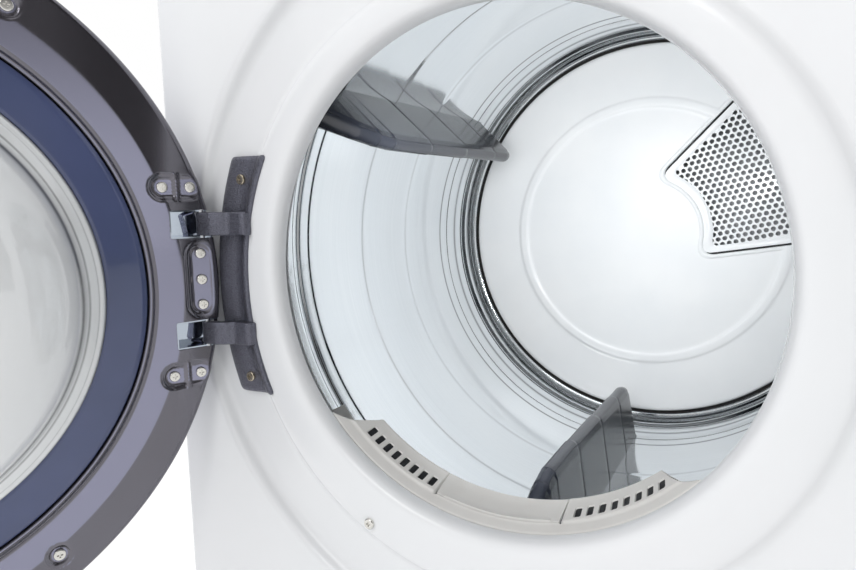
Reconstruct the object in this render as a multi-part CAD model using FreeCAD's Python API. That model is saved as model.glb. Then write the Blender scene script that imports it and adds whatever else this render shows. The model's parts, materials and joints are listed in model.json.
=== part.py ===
import FreeCAD, Part
import math
import os

# Front-loading tumble dryer, full size, door standing open.
# Millimetres. X runs to the right as seen from the front, Y runs to the back, Z is up.
# The origin is on the floor, midway between the four levelling feet.

V = FreeCAD.Vector
Y_AXIS = V(0, 1, 0)
Z_AXIS = V(0, 0, 1)

# ---------------------------------------------------------------- cabinet
cabinet_width = 686.0
cabinet_depth = 720.0
cabinet_height = 983.0
sheet = 1.0                       # side, rear and top panels
front_sheet = 1.2                 # front panel
base_sheet = 1.5
floor_gap = 24.0                  # floor to the underside of the base pan
seam = 0.5                        # visible gap between neighbouring covers
front_return = 18.0               # how far the front panel folds back round its edges
front_corner = 6.0
fascia_height = 114.0
fascia_wall = 2.5
top_skirt = 18.0
base_flange = 22.0

# ---------------------------------------------------------------- heights of the round parts
opening_z = 520.0                 # centre of the door opening
recess_z = opening_z - 11.0       # centre of the door recess and of the closed door
drum_z = opening_z + 3.0          # drum axis

# ---------------------------------------------------------------- door recess and opening
opening_r = 209.7
rim_r = 312.6
recess_floor = 11.0               # depth of the recess floor behind the front face
recess_outer_r = 301.0
recess_inner_r = 258.0
land_r = 248.0
land_depth = 4.5
throat_r = 222.0
throat_depth = 20.7

# ---------------------------------------------------------------- bulkheads and drum
bulkhead_depth = 44.0             # front bulkhead plate
bulkhead_hole_r = 228.0
bulkhead_bottom = 212.0
flange_r = 316.0
flange_end = 66.0
rear_disc_depth = 667.0
rear_disc_r = 306.0
rear_plate_depth = 690.0
emboss_inner_r = 207.0
emboss_outer_r = 218.0
emboss_height = 2.5
drum_r = 322.0                    # inner radius of the drum's plain wall
drum_wall = 1.0
drum_front = 52.0
drum_rear = 678.0
drum_rear_r = 314.5
running_gap = 0.4                 # between the drum and what it runs on

# ---------------------------------------------------------------- lifters
lifter_angles = [-92.0, 28.0, 148.0]
lifter_root_half = 25.0
lifter_ridge_half = 8.5
lifter_ridge_r = 229.0
lifter_wall = 3.0
lifter_front = 96.0
lifter_front_ridge = 198.0
lifter_rear_ridge = 566.0
lifter_rear = 584.0

# ---------------------------------------------------------------- inlet vent in the rear bulkhead
vent_angle = 28.0
vent_inner_r = 88.0
vent_outer_r = 262.0
vent_half = 76.0                  # half height of the sector at vent_half_at from the drum axis
vent_half_at = 80.0
vent_slope = 0.34
vent_corner = 15.0
vent_seam = 1.6
vent_sheet = 1.2
hole_r = 3.5
hole_pitch = 9.8
hole_margin = 11.0
hole_row_angle = 13.0

# ---------------------------------------------------------------- rollers, belt and motor
roller_r = 35.0
roller_width = 16.0
roller_bore = 6.05
roller_shaft_r = 6.0
roller_spread = 38.0              # degrees either side of straight down
front_roller_depth = 80.0
rear_roller_depth = 644.0
belt_depth = 480.0
belt_width = 9.0
belt_thick = 2.6
motor_x = 130.0
motor_z = 125.0
motor_r = 60.0
motor_front = 190.0
motor_rear = 335.0
motor_shaft_r = 6.0
motor_pulley_r = 9.5
idler_x = 40.0
idler_z = 146.0
idler_r = 14.0
idler_bore = 4.05
idler_pin_r = 4.0
idler_pivot_x = 62.0
idler_pivot_z = 84.0

# ---------------------------------------------------------------- blower and air path
blower_wheel_r = 62.0
blower_r = 82.0
blower_front = 50.0
blower_rear = 118.0
blower_inlet_r = 52.0
exhaust_x = -60.0
exhaust_z = 100.0
exhaust_r = 50.8
exhaust_wall = 0.8
exhaust_stub = 36.0               # how far the exhaust collar stands out behind the cabinet
exhaust_stop = 2.5                # bead that stops the hose, just behind the rear panel
duct_front = 16.0
duct_rear = 43.0
duct_wall = 2.0
heater_x = 255.0
heater_z = 112.0
heater_half = 52.0

# ---------------------------------------------------------------- lint filter and its housing
lint_wall = 2.2
lint_half_angle = 49.0
lip_end_angle = 44.0               # end of the lip at lip_end_depth
lip_end_depth = 41.0
lip_end_slant = 27.0
handle_half = 56.2                # upright sides, so that the filter lifts straight out
handle_gap = 0.6
slot_first_angle = 20.0
slot_pitch_angle = 3.0
slot_count = 8
slot_width = 5.4
slot_depth_from = 36.0
slot_depth_to = 47.0
bag_half = 48.0
bag_front = 33.0
bag_rear = 40.6
bag_bottom = 186.0

# ---------------------------------------------------------------- door
door_r = 301.0
door_plane = -5.6                 # inner face of the closed door, measured as a depth
door_ring_r = 234.0
door_thick = 48.0
tint_r = 233.0
glass_r = 197.0
hinge_x = -285.5
hinge_depth = -10.75
open_angle = 112.8
slot_u_inner = -255.0
slot_heights = [54.5, -51.0]      # hinge arm heights above the door centre
slot_half = 13.25
slot_deep = 24.0
arm_half = 11.0
arm_barrel_r = 5.0
hinge_pin_r = 3.0
pin_clearance = 0.05
bracket_inner_r = 243.0
bracket_outer_r = 283.0
bracket_top_angle = 24.5
bracket_bottom_angle = 23.0
bracket_top = 626.0               # both ends are level
bracket_bottom = 399.0
door_screw_ring = 271.0
latch_x = 285.0

# ---------------------------------------------------------------- controls
knob_r = 32.0
knob_reach = 22.0
knob_shaft_r = 4.0
knob_bore = 4.3
controls_z = 905.0
button_r = 11.0
button_gap = 0.4
power_x = -250.0
start_x = 262.0
window_x = (70.0, 225.0)
window_half = 26.0

# ---------------------------------------------------------------- mains entry, feet and fasteners
inlet_r = 8.5
inlet_wall = 4.0
foot_inset_x = 45.0
foot_inset_y = 50.0
foot_pad_r = 20.0
foot_pad_height = 9.0
foot_stem_r = 5.0
foot_stem_top = 58.0
foot_clearance = 0.06
screw_head_r = 5.0
screw_head = 2.6
screw_shank_r = 2.0
screw_length = 8.0

half_width = cabinet_width / 2
front = -cabinet_depth / 2
rear = cabinet_depth / 2
fascia_bottom = cabinet_height - top_skirt - fascia_height
front_top = fascia_bottom - seam
front_bottom = floor_gap + 2.0
roller_angles = [-90.0 - roller_spread, -90.0 + roller_spread]
feet = {
    "foot_front_left": (-1, -1),
    "foot_front_right": (1, -1),
    "foot_rear_left": (-1, 1),
    "foot_rear_right": (1, 1),
}


# ================================================================ helpers
def deep(depth):
    """Y of a point this far behind the front face."""
    return front + depth


def block(x, y, z):
    return Part.makeBox(x[1] - x[0], y[1] - y[0], z[1] - z[0], V(x[0], y[0], z[0]))


def rod(radius, depth0, depth1, x, z):
    """Cylinder along Y between two depths."""
    return Part.makeCylinder(radius, depth1 - depth0, V(x, deep(depth0), z), Y_AXIS)


def tube(outer, inner, depth0, depth1, x, z):
    return rod(outer, depth0, depth1, x, z).cut(rod(inner, depth0 - 1, depth1 + 1, x, z))


def post(radius, z0, z1, x, y):
    return Part.makeCylinder(radius, z1 - z0, V(x, y, z0))


def turned(profile, x, z, start=0.0, sweep=360.0):
    """Solid of revolution about a line along Y; profile is (radius, depth) points."""
    points = [V(x + radius, deep(depth), z) for radius, depth in profile]
    face = Part.Face(Part.makePolygon(points + [points[0]]))
    solid = face.revolve(V(x, 0, z), Y_AXIS, -sweep)
    solid.rotate(V(x, 0, z), Y_AXIS, -start)
    return solid


def prism_y(points, depth0, depth1):
    """Closed XZ outline pushed from one depth to another."""
    corners = [V(x, deep(depth0), z) for x, z in points]
    face = Part.Face(Part.makePolygon(corners + [corners[0]]))
    return face.extrude(V(0, depth1 - depth0, 0))


def prism_z(points, z0, z1):
    """Closed (x, depth) outline pushed upwards."""
    corners = [V(x, deep(depth), z0) for x, depth in points]
    face = Part.Face(Part.makePolygon(corners + [corners[0]]))
    return face.extrude(V(0, 0, z1 - z0))


def polar(radius, angle):
    return radius * math.cos(math.radians(angle)), radius * math.sin(math.radians(angle))


def turn(shape, angle, x, z):
    """Turn about a line along Y; a positive angle goes from +X towards +Z."""
    copy = shape.copy()
    copy.rotate(V(x, 0, z), Y_AXIS, -angle)
    return copy


def joined(shapes):
    result = shapes[0]
    if len(shapes) > 1:
        result = shapes[0].multiFuse(shapes[1:])
    return result.removeSplitter()


def without(shape, tools):
    return shape.cut(Part.makeCompound(tools))


def rounded(shape, radius, wanted):
    """Fillet the edges whose two ends both satisfy wanted."""
    edges = [edge for edge in shape.Edges if all(wanted(corner.Point) for corner in edge.Vertexes)]
    return shape.makeFillet(radius, edges)


def near(value, target):
    return abs(value - target) < 0.01


def save(name, shape):
    shape.exportStep("parts/%s.step" % name)


def screw(x, depth, z, length=screw_length):
    """Pan-head screw driven towards +Y from a surface at this depth, with a cross recess."""
    head = rod(screw_head_r, depth - screw_head, depth, x, z)
    head = rounded(head, 1.2, lambda p: near(p.y, deep(depth - screw_head)))
    arms = [
        block((x - 0.6, x + 0.6), (deep(depth - 4), deep(depth - 1.3)), (z - 2.4, z + 2.4)),
        block((x - 2.4, x + 2.4), (deep(depth - 4), deep(depth - 1.3)), (z - 0.6, z + 0.6)),
    ]
    shank = rod(screw_shank_r, depth, depth + length, x, z)
    return joined([without(head, arms), shank])


# ================================================================ cabinet covers
def side_panel(side):
    outer = side * half_width
    inner = side * (half_width - sheet)
    lip = side * (half_width - 14.0)
    front_y = front + front_return + seam
    z_range = (floor_gap, cabinet_height - top_skirt)
    plate = block(sorted((outer, inner)), (front_y, rear), z_range)
    rear_lip = block(sorted((inner, lip)), (rear - 2 * sheet, rear - sheet), (floor_gap + 45, z_range[1]))
    front_lip = block(sorted((inner, lip)), (front_y, front_y + sheet), (floor_gap + 45, fascia_bottom))
    top_lip = block(sorted((inner, lip)), (front_y + 45, rear - 2 * sheet), (z_range[1] - sheet, z_range[1]))
    bead_z = (opening_z - 150.0, opening_z + 150.0)
    bead = block(sorted((outer, side * (half_width - 3.0))), (-150.0, 150.0), bead_z)
    hollow = block(sorted((outer, side * (half_width - 2.0))), (-149.0, 149.0),
        (bead_z[0] + 1, bead_z[1] - 1))
    holes = [
        rod(screw_shank_r, cabinet_depth - 5, cabinet_depth, x,
            z) for x, z in rear_screw_places() if x * side > 0
    ]
    return without(joined([plate, rear_lip, front_lip, top_lip, bead]), [hollow] + holes)


def rear_screw_places():
    columns = [-half_width + 7.5, half_width - 7.5]
    return [(x, z) for x in columns for z in (110.0, 360.0, 620.0, 880.0)]


def rear_panel():
    edge = half_width - sheet - 0.2
    plate = block((-edge, edge), (rear - sheet, rear), (floor_gap + 2, cabinet_height - top_skirt))
    cuts = [rod(exhaust_r + 0.6, cabinet_depth - 5, cabinet_depth + 5, exhaust_x, exhaust_z)]
    cuts.append(block((-286, -214), (rear - 5, rear + 5), (796, 864)))
    for x, z in rear_screw_places():
        cuts.append(rod(screw_shank_r, cabinet_depth - 5, cabinet_depth + 5, x, z))
    for row in range(6):
        z = 250.0 + row * 16.0
        cuts.append(block((-300, -180), (rear - 5, rear + 5), (z, z + 5)))
        cuts.append(block((-300, -180), (rear - 5, rear + 5), (z + 330, z + 335)))
    return without(plate, cuts)


def base_pan():
    edge = half_width - sheet - 0.2
    y_range = (front + front_return + seam + sheet + 0.5, rear - 2 * sheet - 0.2)
    outer = block((-edge, edge), y_range, (floor_gap, floor_gap + base_flange))
    inner = block(
        (-edge + base_sheet, edge - base_sheet),
        (y_range[0] + base_sheet, y_range[1] - base_sheet),
        (floor_gap + base_sheet, floor_gap + base_flange + 1),
    )
    pan = outer.cut(inner)
    bosses = []
    holes = []
    for x_side, y_side in feet.values():
        x, y = foot_place(x_side, y_side)
        bosses.append(post(12.0, floor_gap, floor_gap + 14.0, x, y))
        holes.append(post(foot_stem_r + foot_clearance, floor_gap - 5, floor_gap + 20, x, y))
    for x in (-190.0, 0.0, 190.0):
        bosses.append(block((x - 9, x + 9), (y_range[0] + 2, y_range[1] - 2), (floor_gap, floor_gap + 5)))
    return without(joined([pan, idler_post()] + bosses), holes)


def top_panel():
    y_range = (front - 3.0, rear)
    z_range = (cabinet_height - top_skirt, cabinet_height)
    outer = block((-half_width, half_width), y_range, z_range)
    outer = rounded(outer, 7.0, lambda p: near(p.z, z_range[1]))
    inner = block(
        (-half_width + sheet, half_width - sheet),
        (y_range[0] + sheet, y_range[1] - sheet),
        (z_range[0] - 1, z_range[1] - sheet),
    )
    inner = rounded(inner, 6.0, lambda p: near(p.z, z_range[1] - sheet))
    return outer.cut(inner)


def recess_sheet():
    """Dish between the recess rim and the raised land round the opening."""
    face = [
        (rim_r, 0), (rim_r - 4, 1.4), (rim_r - 8, recess_floor - 2.6), (recess_outer_r, recess_floor),
        (recess_inner_r, recess_floor), (recess_inner_r - 5, recess_floor - 2), (land_r, land_depth),
    ]
    back = [(radius, depth + front_sheet) for radius, depth in reversed(face)]
    return turned(face + back, 0, recess_z)


def throat_sheet():
    """Rolled edge of the opening."""
    face = [
        (throat_r, land_depth), (throat_r - 5, land_depth + 0.9), (throat_r - 9, land_depth + 4),
        (opening_r + 1, throat_depth - 7), (opening_r, throat_depth),
    ]
    back = [
        (opening_r + front_sheet, throat_depth), (opening_r + 1 + front_sheet, throat_depth - 6.5),
        (throat_r - 8, land_depth + 5), (throat_r - 4.4, land_depth + front_sheet + 0.8),
        (throat_r, land_depth + front_sheet),
    ]
    return turned(face + back, 0, opening_z)


def recess_screw_places():
    return [(-110.0, opening_z - 225.0), (110.0, opening_z - 225.0)]


def bracket_screw_places():
    radius = 264.0
    return [
        (polar(radius, 180 - angle)[0], recess_z + polar(radius, 180 - angle)[1])
        for angle in (bracket_top_angle - 3.3, -bracket_bottom_angle + 2.0)
    ]


def front_panel():
    outer = block((-half_width, half_width), (front, front + front_return), (front_bottom, front_top))
    outer = rounded(outer, front_corner, lambda p: near(p.y, front))
    inner = block(
        (-half_width + front_sheet, half_width - front_sheet),
        (front + front_sheet, front + front_return + 1),
        (front_bottom + front_sheet, front_top - front_sheet),
    )
    inner = rounded(inner, front_corner - front_sheet, lambda p: near(p.y, front + front_sheet))
    skin = outer.cut(inner).cut(rod(rim_r, -1, front_sheet + 1, 0, recess_z))
    land = rod(land_r, land_depth, land_depth + front_sheet, 0, recess_z)
    land = land.cut(rod(throat_r, land_depth - 1, land_depth + 3, 0, opening_z))
    panel = joined([skin, recess_sheet(), land, throat_sheet()])
    holes = [block((latch_x - 11.3, latch_x + 11.3), (front, front + 20), (recess_z - 20.3, recess_z + 20.3))]
    holes.append(rod(4.3, 5, 20, latch_x, recess_z - 42))
    for x, z in bracket_screw_places():
        holes.append(rod(screw_shank_r, 5, 20, x, z))
    for x, z in recess_screw_places():
        holes.append(rod(screw_shank_r, 2, 20, x, z))
    return without(panel, holes)


def control_fascia():
    y_range = (front - 3.0, front + 62.0)
    z_range = (fascia_bottom, cabinet_height - top_skirt - seam)
    outer = block((-half_width, half_width), y_range, z_range)
    outer = rounded(outer, 9.0, lambda p: near(p.y, y_range[0]))
    inner = block(
        (-half_width + fascia_wall, half_width - fascia_wall),
        (y_range[0] + fascia_wall, y_range[1] + 1),
        (z_range[0] + fascia_wall, z_range[1] - fascia_wall),
    )
    inner = rounded(inner, 6.5, lambda p: near(p.y, y_range[0] + fascia_wall))
    plate = outer.cut(inner)
    side_relief = [
        block(sorted((side * half_width, side * (half_width - sheet - 0.3))),
              (front + front_return, y_range[1] + 1), (z_range[0] - 1, z_range[1] + 1))
        for side in (-1, 1)
    ]
    holes = [rod(knob_bore, -10, 10, 0, controls_z)]
    for x in (power_x, start_x):
        holes.append(rod(button_r + button_gap, -10, 10, x, controls_z))
    z_window = (controls_z - window_half, controls_z + window_half)
    holes.append(block(window_x, (front - 5, front), z_window))
    return without(plate, holes + side_relief)


def display_window():
    clearance = 0.2
    plate = block(
        (window_x[0] + clearance, window_x[1] - clearance),
        (front - 3.4, front - 3.0 + fascia_wall),
        (controls_z - window_half + clearance, controls_z + window_half - clearance),
    )
    return rounded(plate, 0.8, lambda p: near(p.y, front - 3.4))


def control_board():
    board = block((40, 300), (front + 14.0, front + 15.6), (controls_z - 38, controls_z + 38))
    display = block((80, 215), (front + 2.0, front + 14.0), (controls_z - 20, controls_z + 20))
    relay = block((240, 262), (front + 15.6, front + 33.0), (controls_z - 12, controls_z + 14))
    capacitor = rod(8.0, 15.6, 40, 285, controls_z)
    encoder = block((-16, 40), (front + 14.0, front + 15.6), (controls_z - 16, controls_z + 16))
    shaft_hole = rod(knob_bore, 0, 30, 0, controls_z)
    return joined([board, display, relay, capacitor, encoder]).cut(shaft_hole)


def cycle_knob():
    face = -3.0
    skirt = turned([
        (0, face - knob_reach), (knob_r - 8, face - knob_reach), (knob_r - 4.5, face - knob_reach + 1.5),
        (knob_r - 3, face - 5), (knob_r, face - 3), (knob_r, face - 0.6), (0, face - 0.6),
    ], 0, controls_z)
    grips = []
    for index in range(24):
        x, z = polar(knob_r - 2.6, index * 15.0)
        grips.append(rod(1.1, face - knob_reach + 3, face - 6, x, controls_z + z))
    pointer = block((-1.2, 1.2), (deep(face - knob_reach - 1), deep(face - knob_reach + 0.8)),
                    (controls_z + 10, controls_z + 22))
    shaft = rod(knob_shaft_r, face - 0.6, 24, 0, controls_z)
    return joined([without(skirt, grips + [pointer]), shaft])


def push_button(x):
    cap = rod(button_r, -6.2, 2.0, x, controls_z)
    cap = rounded(cap, 1.5, lambda p: near(p.y, deep(-6.2)))
    flange = rod(button_r + 3, 0.0, 2.0, x, controls_z)
    stem = rod(3.0, 2.0, 9.0, x, controls_z)
    return joined([cap, flange, stem])


# ================================================================ bulkheads
def front_bulkhead():
    edge = half_width - sheet - 0.3
    plate = block((-edge, edge), (deep(bulkhead_depth), deep(bulkhead_depth + sheet)),
        (bulkhead_bottom, fascia_bottom - 8))
    lips = [
        block(sorted((side * edge, side * (edge - sheet))), (front + 24, deep(bulkhead_depth)),
              (bulkhead_bottom, fascia_bottom - 8))
        for side in (-1, 1)
    ]
    flange = tube(flange_r, flange_r - sheet, bulkhead_depth, flange_end, 0, drum_z)
    holes = [rod(bulkhead_hole_r, bulkhead_depth - 5, bulkhead_depth + 5, 0, opening_z)]
    holes += [rod(roller_shaft_r, bulkhead_depth - 5, bulkhead_depth + 5, x, z) for x,
        z in roller_places(drum_r)]
    return without(joined([plate, flange] + lips), holes)


def vent_outline(grow, depth0, depth1):
    """Fan-shaped slab of the vent, grown all round by this much."""
    def half(u):
        return vent_half + vent_slope * (u - vent_half_at) + grow * math.hypot(1, vent_slope)

    reach = vent_outer_r + 60
    wedge = prism_y([(0, -half(0)), (reach, -half(reach)), (reach, half(reach)), (0, half(0))], depth0,
        depth1)
    wedge = wedge.translated(V(0, 0, drum_z))
    slab = wedge.common(rod(vent_outer_r + grow, depth0, depth1, 0, drum_z))
    slab = slab.cut(rod(vent_inner_r - grow, depth0 - 1, depth1 + 1, 0, drum_z))
    upright = [
        edge for edge in slab.Edges
        if len(edge.Vertexes) == 2 and near(edge.Length, depth1 - depth0)
        and near(edge.Vertexes[0].Point.x, edge.Vertexes[1].Point.x)
    ]
    slab = slab.makeFillet(vent_corner + grow, upright)
    return turn(slab, vent_angle, 0, drum_z)


def rear_bulkhead():
    edge = half_width - sheet - 0.3
    plate = block((-edge, edge), (deep(rear_plate_depth), deep(rear_plate_depth + sheet)),
        (bulkhead_bottom, 900))
    plate = plate.cut(rod(rear_disc_r - 0.5, rear_plate_depth - 5, rear_plate_depth + 5, 0, drum_z))
    face = [
        (0, rear_disc_depth), (emboss_inner_r - 5, rear_disc_depth), (emboss_inner_r,
            rear_disc_depth - emboss_height),
        (emboss_outer_r, rear_disc_depth - emboss_height), (emboss_outer_r + 5, rear_disc_depth),
        (rear_disc_r - 6, rear_disc_depth), (rear_disc_r - 2, rear_disc_depth + 1.6),
        (rear_disc_r, rear_disc_depth + 6), (rear_disc_r, rear_plate_depth + sheet),
    ]
    back = [
        (rear_disc_r - sheet, rear_plate_depth + sheet), (rear_disc_r - sheet, rear_disc_depth + 6),
        (rear_disc_r - 2.8, rear_disc_depth + 2.6), (rear_disc_r - 6.4, rear_disc_depth + sheet),
        (0, rear_disc_depth + sheet),
    ]
    boss = turned(face + back, 0, drum_z)
    ring = emboss_groove()
    holes = [vent_outline(vent_seam, rear_disc_depth - 10, rear_disc_depth + 10)]
    holes += [
        rod(roller_shaft_r, rear_plate_depth - 5, rear_plate_depth + 5, x, z)
        for x, z in roller_places(drum_rear_r + 2)
    ]
    return without(joined([plate, boss]), holes + [ring])


def emboss_groove():
    """Hollow behind the embossed ring, so that the sheet keeps its thickness."""
    return turned([
        (emboss_inner_r - 4, rear_disc_depth + sheet), (emboss_inner_r + 1,
            rear_disc_depth - emboss_height + sheet),
        (emboss_outer_r - 1, rear_disc_depth - emboss_height + sheet), (emboss_outer_r + 4,
            rear_disc_depth + sheet),
    ], 0, drum_z)


def vent_grille():
    depth0 = rear_disc_depth + 0.8
    plate = vent_outline(0, depth0, depth0 + vent_sheet)
    holes = []
    reach = int(vent_outer_r / hole_pitch) + 2
    for row in range(-reach, reach * 2):
        for column in range(-reach, reach * 2):
            along = (column + 0.5 * (row % 2)) * hole_pitch
            across = row * hole_pitch * math.sqrt(3) / 2
            ax, az = polar(along, hole_row_angle)
            bx, bz = polar(across, hole_row_angle + 90)
            x, z = ax + bx, az + bz
            radius = math.hypot(x, z)
            turned_by = math.degrees(math.atan2(z, x)) - vent_angle
            u, v = polar(radius, turned_by)
            limit = vent_half + vent_slope * (u - vent_half_at) - hole_margin
            fits_round = vent_inner_r + hole_margin < radius < vent_outer_r - hole_margin
            if u > 0 and fits_round and abs(v) < limit:
                holes.append(rod(hole_r, depth0 - 1, depth0 + vent_sheet + 1, x, drum_z + z))
    return without(plate, holes)


def inlet_duct():
    """Shallow box that carries warm air from the heater up to the vent."""
    outline = [
        (28, drum_z + 190), (28, drum_z - 60), (heater_x - 62, drum_z - 190), (heater_x - 62, heater_z - 58),
        (heater_x + 62, heater_z - 58), (heater_x + 62, drum_z + 20), (heater_x + 20, drum_z + 190),
    ]
    inset = [
        (30, drum_z + 188), (30, drum_z - 59), (heater_x - 60, drum_z - 189), (heater_x - 60, heater_z - 56),
        (heater_x + 60, heater_z - 56), (heater_x + 60, drum_z + 19.5), (heater_x + 18.6, drum_z + 188),
    ]
    start = rear_plate_depth + sheet + 0.4
    shell = prism_y(outline, start, cabinet_depth - 3.0)
    return shell.cut(prism_y(inset, start - 1, cabinet_depth - 4.2))


def heater_housing():
    depth0, depth1 = 440.0, rear_plate_depth + 2
    outer = block((heater_x - heater_half, heater_x + heater_half), (deep(depth0), deep(depth1)),
                  (heater_z - heater_half, heater_z + heater_half))
    hollow = heater_half - sheet
    inner = block((heater_x - hollow, heater_x + hollow), (deep(depth0 - 1), deep(depth1 + 1)),
                  (heater_z - hollow, heater_z + hollow))
    stand = [
        block((heater_x - 40, heater_x + 40), (deep(depth), deep(depth + 12)),
              (floor_gap + base_sheet, heater_z - heater_half))
        for depth in (470.0, 640.0)
    ]
    return joined([outer.cut(inner)] + stand)


def heater_coil():
    """Serpentine element: rods along the duct joined by half-round bends."""
    rod_r = 3.2
    pitch = 24.0
    depth0, depth1 = 470.0, 650.0
    pieces = []
    for index in range(4):
        x = heater_x + (index - 1.5) * pitch
        pieces.append(rod(rod_r, depth0, depth1, x, heater_z))
        if index < 3:
            bend_depth = depth1 if index % 2 == 0 else depth0
            section = Part.Face(Part.Wire(Part.makeCircle(rod_r, V(x, deep(bend_depth), heater_z), Y_AXIS)))
            sweep = 180 if index % 2 == 1 else -180
            pieces.append(section.revolve(V(x + pitch / 2, deep(bend_depth), heater_z), Z_AXIS, sweep))
    plate = block((heater_x - 46, heater_x + 46), (deep(depth0 - 22), deep(depth0 - 20)),
        (heater_z - 12, heater_z + 12))
    leads = [
        rod(rod_r, depth0 - 20, depth0, heater_x - 1.5 * pitch, heater_z),
        rod(rod_r, depth0 - 20, depth0, heater_x + 1.5 * pitch, heater_z),
    ]
    return joined(pieces + [plate] + leads)


def felt_seal(outer, inner, depth0, depth1):
    return tube(outer, inner, depth0, depth1, 0, drum_z)


# ================================================================ drum
def drum_profile():
    """(depth, inner radius) points of the rolled drum wall, front to back."""
    return [
        (drum_front, drum_r), (160, drum_r), (163, drum_r + 3), (170, drum_r + 3), (173, drum_r),
        (188, drum_r), (190, drum_r - 1), (304, drum_r - 1), (311, drum_r + 0.5), (422, drum_r + 0.5),
        (430, drum_r - 1), (540, drum_r - 1), (543, drum_r - 2), (564, drum_r - 2), (570, drum_r - 0.5),
        (592, drum_r - 0.5), (599, drum_r - 3.5), (617, drum_r - 3.5), (620, drum_r), (629, drum_r),
        (633, drum_r - 5.5), (652, drum_r - 5.5), (655, drum_r - 3.5), (661, drum_r - 3.5),
        (664, drum_rear_r), (drum_rear, drum_rear_r),
    ]


def drum_shell():
    inner = [(radius, depth) for depth, radius in drum_profile()]
    outer = [(radius + drum_wall, depth) for radius, depth in reversed(inner)]
    return turned(inner + outer, 0, drum_z)


def drum_space():
    """Everything inside the drum wall."""
    wall = [(radius, depth) for depth, radius in drum_profile()]
    return turned([(0, drum_front)] + wall + [(0, drum_rear)], 0, drum_z)


def lifter_body(inset):
    """Tent-shaped lifter lying along +X from the drum axis, shrunk by inset on every free side."""
    root = drum_r + 4.0
    ridge = lifter_ridge_r + inset
    section = [
        (root, -lifter_root_half + inset), (ridge, -lifter_ridge_half + inset),
        (ridge, lifter_ridge_half - inset), (root, lifter_root_half - inset),
    ]
    prism = prism_y([(x, drum_z + z) for x, z in section], lifter_front - 10, lifter_rear + 10)
    side = [
        (root, lifter_front + inset), (ridge, lifter_front_ridge + inset),
        (ridge + 7, lifter_rear_ridge - inset), (root, lifter_rear - inset),
    ]
    slab = prism_z(side, drum_z - 60, drum_z + 60)
    body = prism.common(slab)
    if inset == 0:
        body = rounded(body, 6.0, lambda p: p.x < lifter_ridge_r + 12)
    return body


def lifter(angle, space):
    solid = lifter_body(0.0).cut(lifter_body(lifter_wall))
    return turn(solid, angle, 0, drum_z).common(space)


# ================================================================ rollers, belt and motor
def roller_places(wall_r):
    reach = wall_r + drum_wall + running_gap + roller_r
    return [(polar(reach, angle)[0], drum_z + polar(reach, angle)[1]) for angle in roller_angles]


def roller(x, z, depth):
    half = roller_width / 2
    tyre = tube(roller_r, roller_r - 8, depth - half, depth + half, x, z)
    hub = tube(11.0, roller_bore, depth - half - 1.5, depth + half + 1.5, x, z)
    web = tube(roller_r - 7.5, 10.5, depth - 3, depth + 3, x, z)
    windows = [rod(4.5, depth - 5, depth + 5, x + polar(19, a)[0], z + polar(19, a)[1]) for a in range(0,
        360, 60)]
    return joined([tyre, hub, without(web, windows)])


def roller_shafts():
    """Fixed shafts: two on the front bulkhead and two on the rear one."""
    gap = roller_width / 2 + 1.5 + 0.5
    shafts = []
    for x, z in roller_places(drum_r):
        spindle = rod(roller_shaft_r, bulkhead_depth - 3, front_roller_depth + gap + 6, x, z)
        shoulder = rod(9.5, bulkhead_depth + sheet, front_roller_depth - gap, x, z)
        washer = rod(9.5, front_roller_depth + gap, front_roller_depth + gap + 2, x, z)
        shafts.append(joined([spindle, shoulder, washer]))
    for x, z in roller_places(drum_rear_r + 2):
        spindle = rod(roller_shaft_r, rear_roller_depth - gap - 6, rear_plate_depth + 3, x, z)
        shoulder = rod(9.5, rear_roller_depth + gap, rear_plate_depth, x, z)
        washer = rod(9.5, rear_roller_depth - gap - 2, rear_roller_depth - gap, x, z)
        shafts.append(joined([spindle, shoulder, washer]))
    return Part.makeCompound(shafts)


def belt_loop(circles, offset):
    """Closed outline of tangents and arcs; circles are (x, z, signed radius) in travel order."""
    count = len(circles)
    tangents = []
    for index in range(count):
        x0, z0, r0 = circles[index]
        x1, z1, r1 = circles[(index + 1) % count]
        r0, r1 = r0 - offset, r1 - offset
        heading = math.atan2(z1 - z0, x1 - x0) - math.asin((r1 - r0) / math.hypot(x1 - x0, z1 - z0))
        nx, nz = -math.sin(heading), math.cos(heading)
        tangents.append(((x0 - r0 * nx, z0 - r0 * nz), (x1 - r1 * nx, z1 - r1 * nz)))
    edges = []
    for index in range(count):
        x0, z0, r0 = circles[index]
        r0 = r0 - offset
        start = tangents[index - 1][1]
        end = tangents[index][0]
        a0 = math.atan2(start[1] - z0, start[0] - x0)
        a1 = math.atan2(end[1] - z0, end[0] - x0)
        sweep = (a1 - a0) % (2 * math.pi) if r0 > 0 else -((a0 - a1) % (2 * math.pi))
        middle = a0 + sweep / 2
        via = (x0 + abs(r0) * math.cos(middle), z0 + abs(r0) * math.sin(middle))
        corners = [V(p[0], deep(belt_depth - belt_width / 2), p[1]) for p in (start, via, end)]
        edges.append(Part.Arc(*corners).toShape())
        line_end = tangents[index][1]
        edges.append(Part.makeLine(corners[2], V(line_end[0], corners[2].y, line_end[1])))
    return Part.Face(Part.Wire(edges))


def drive_belt():
    half = belt_thick / 2
    drum_track = drum_r - 1 + drum_wall + running_gap + half
    circles = [
        (0, drum_z, drum_track),
        (idler_x, idler_z, -(idler_r + running_gap + half)),
        (motor_x, motor_z, motor_pulley_r + running_gap + half),
    ]
    ring = belt_loop(circles, -half).cut(belt_loop(circles, half))
    return ring.extrude(V(0, belt_width, 0))


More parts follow.
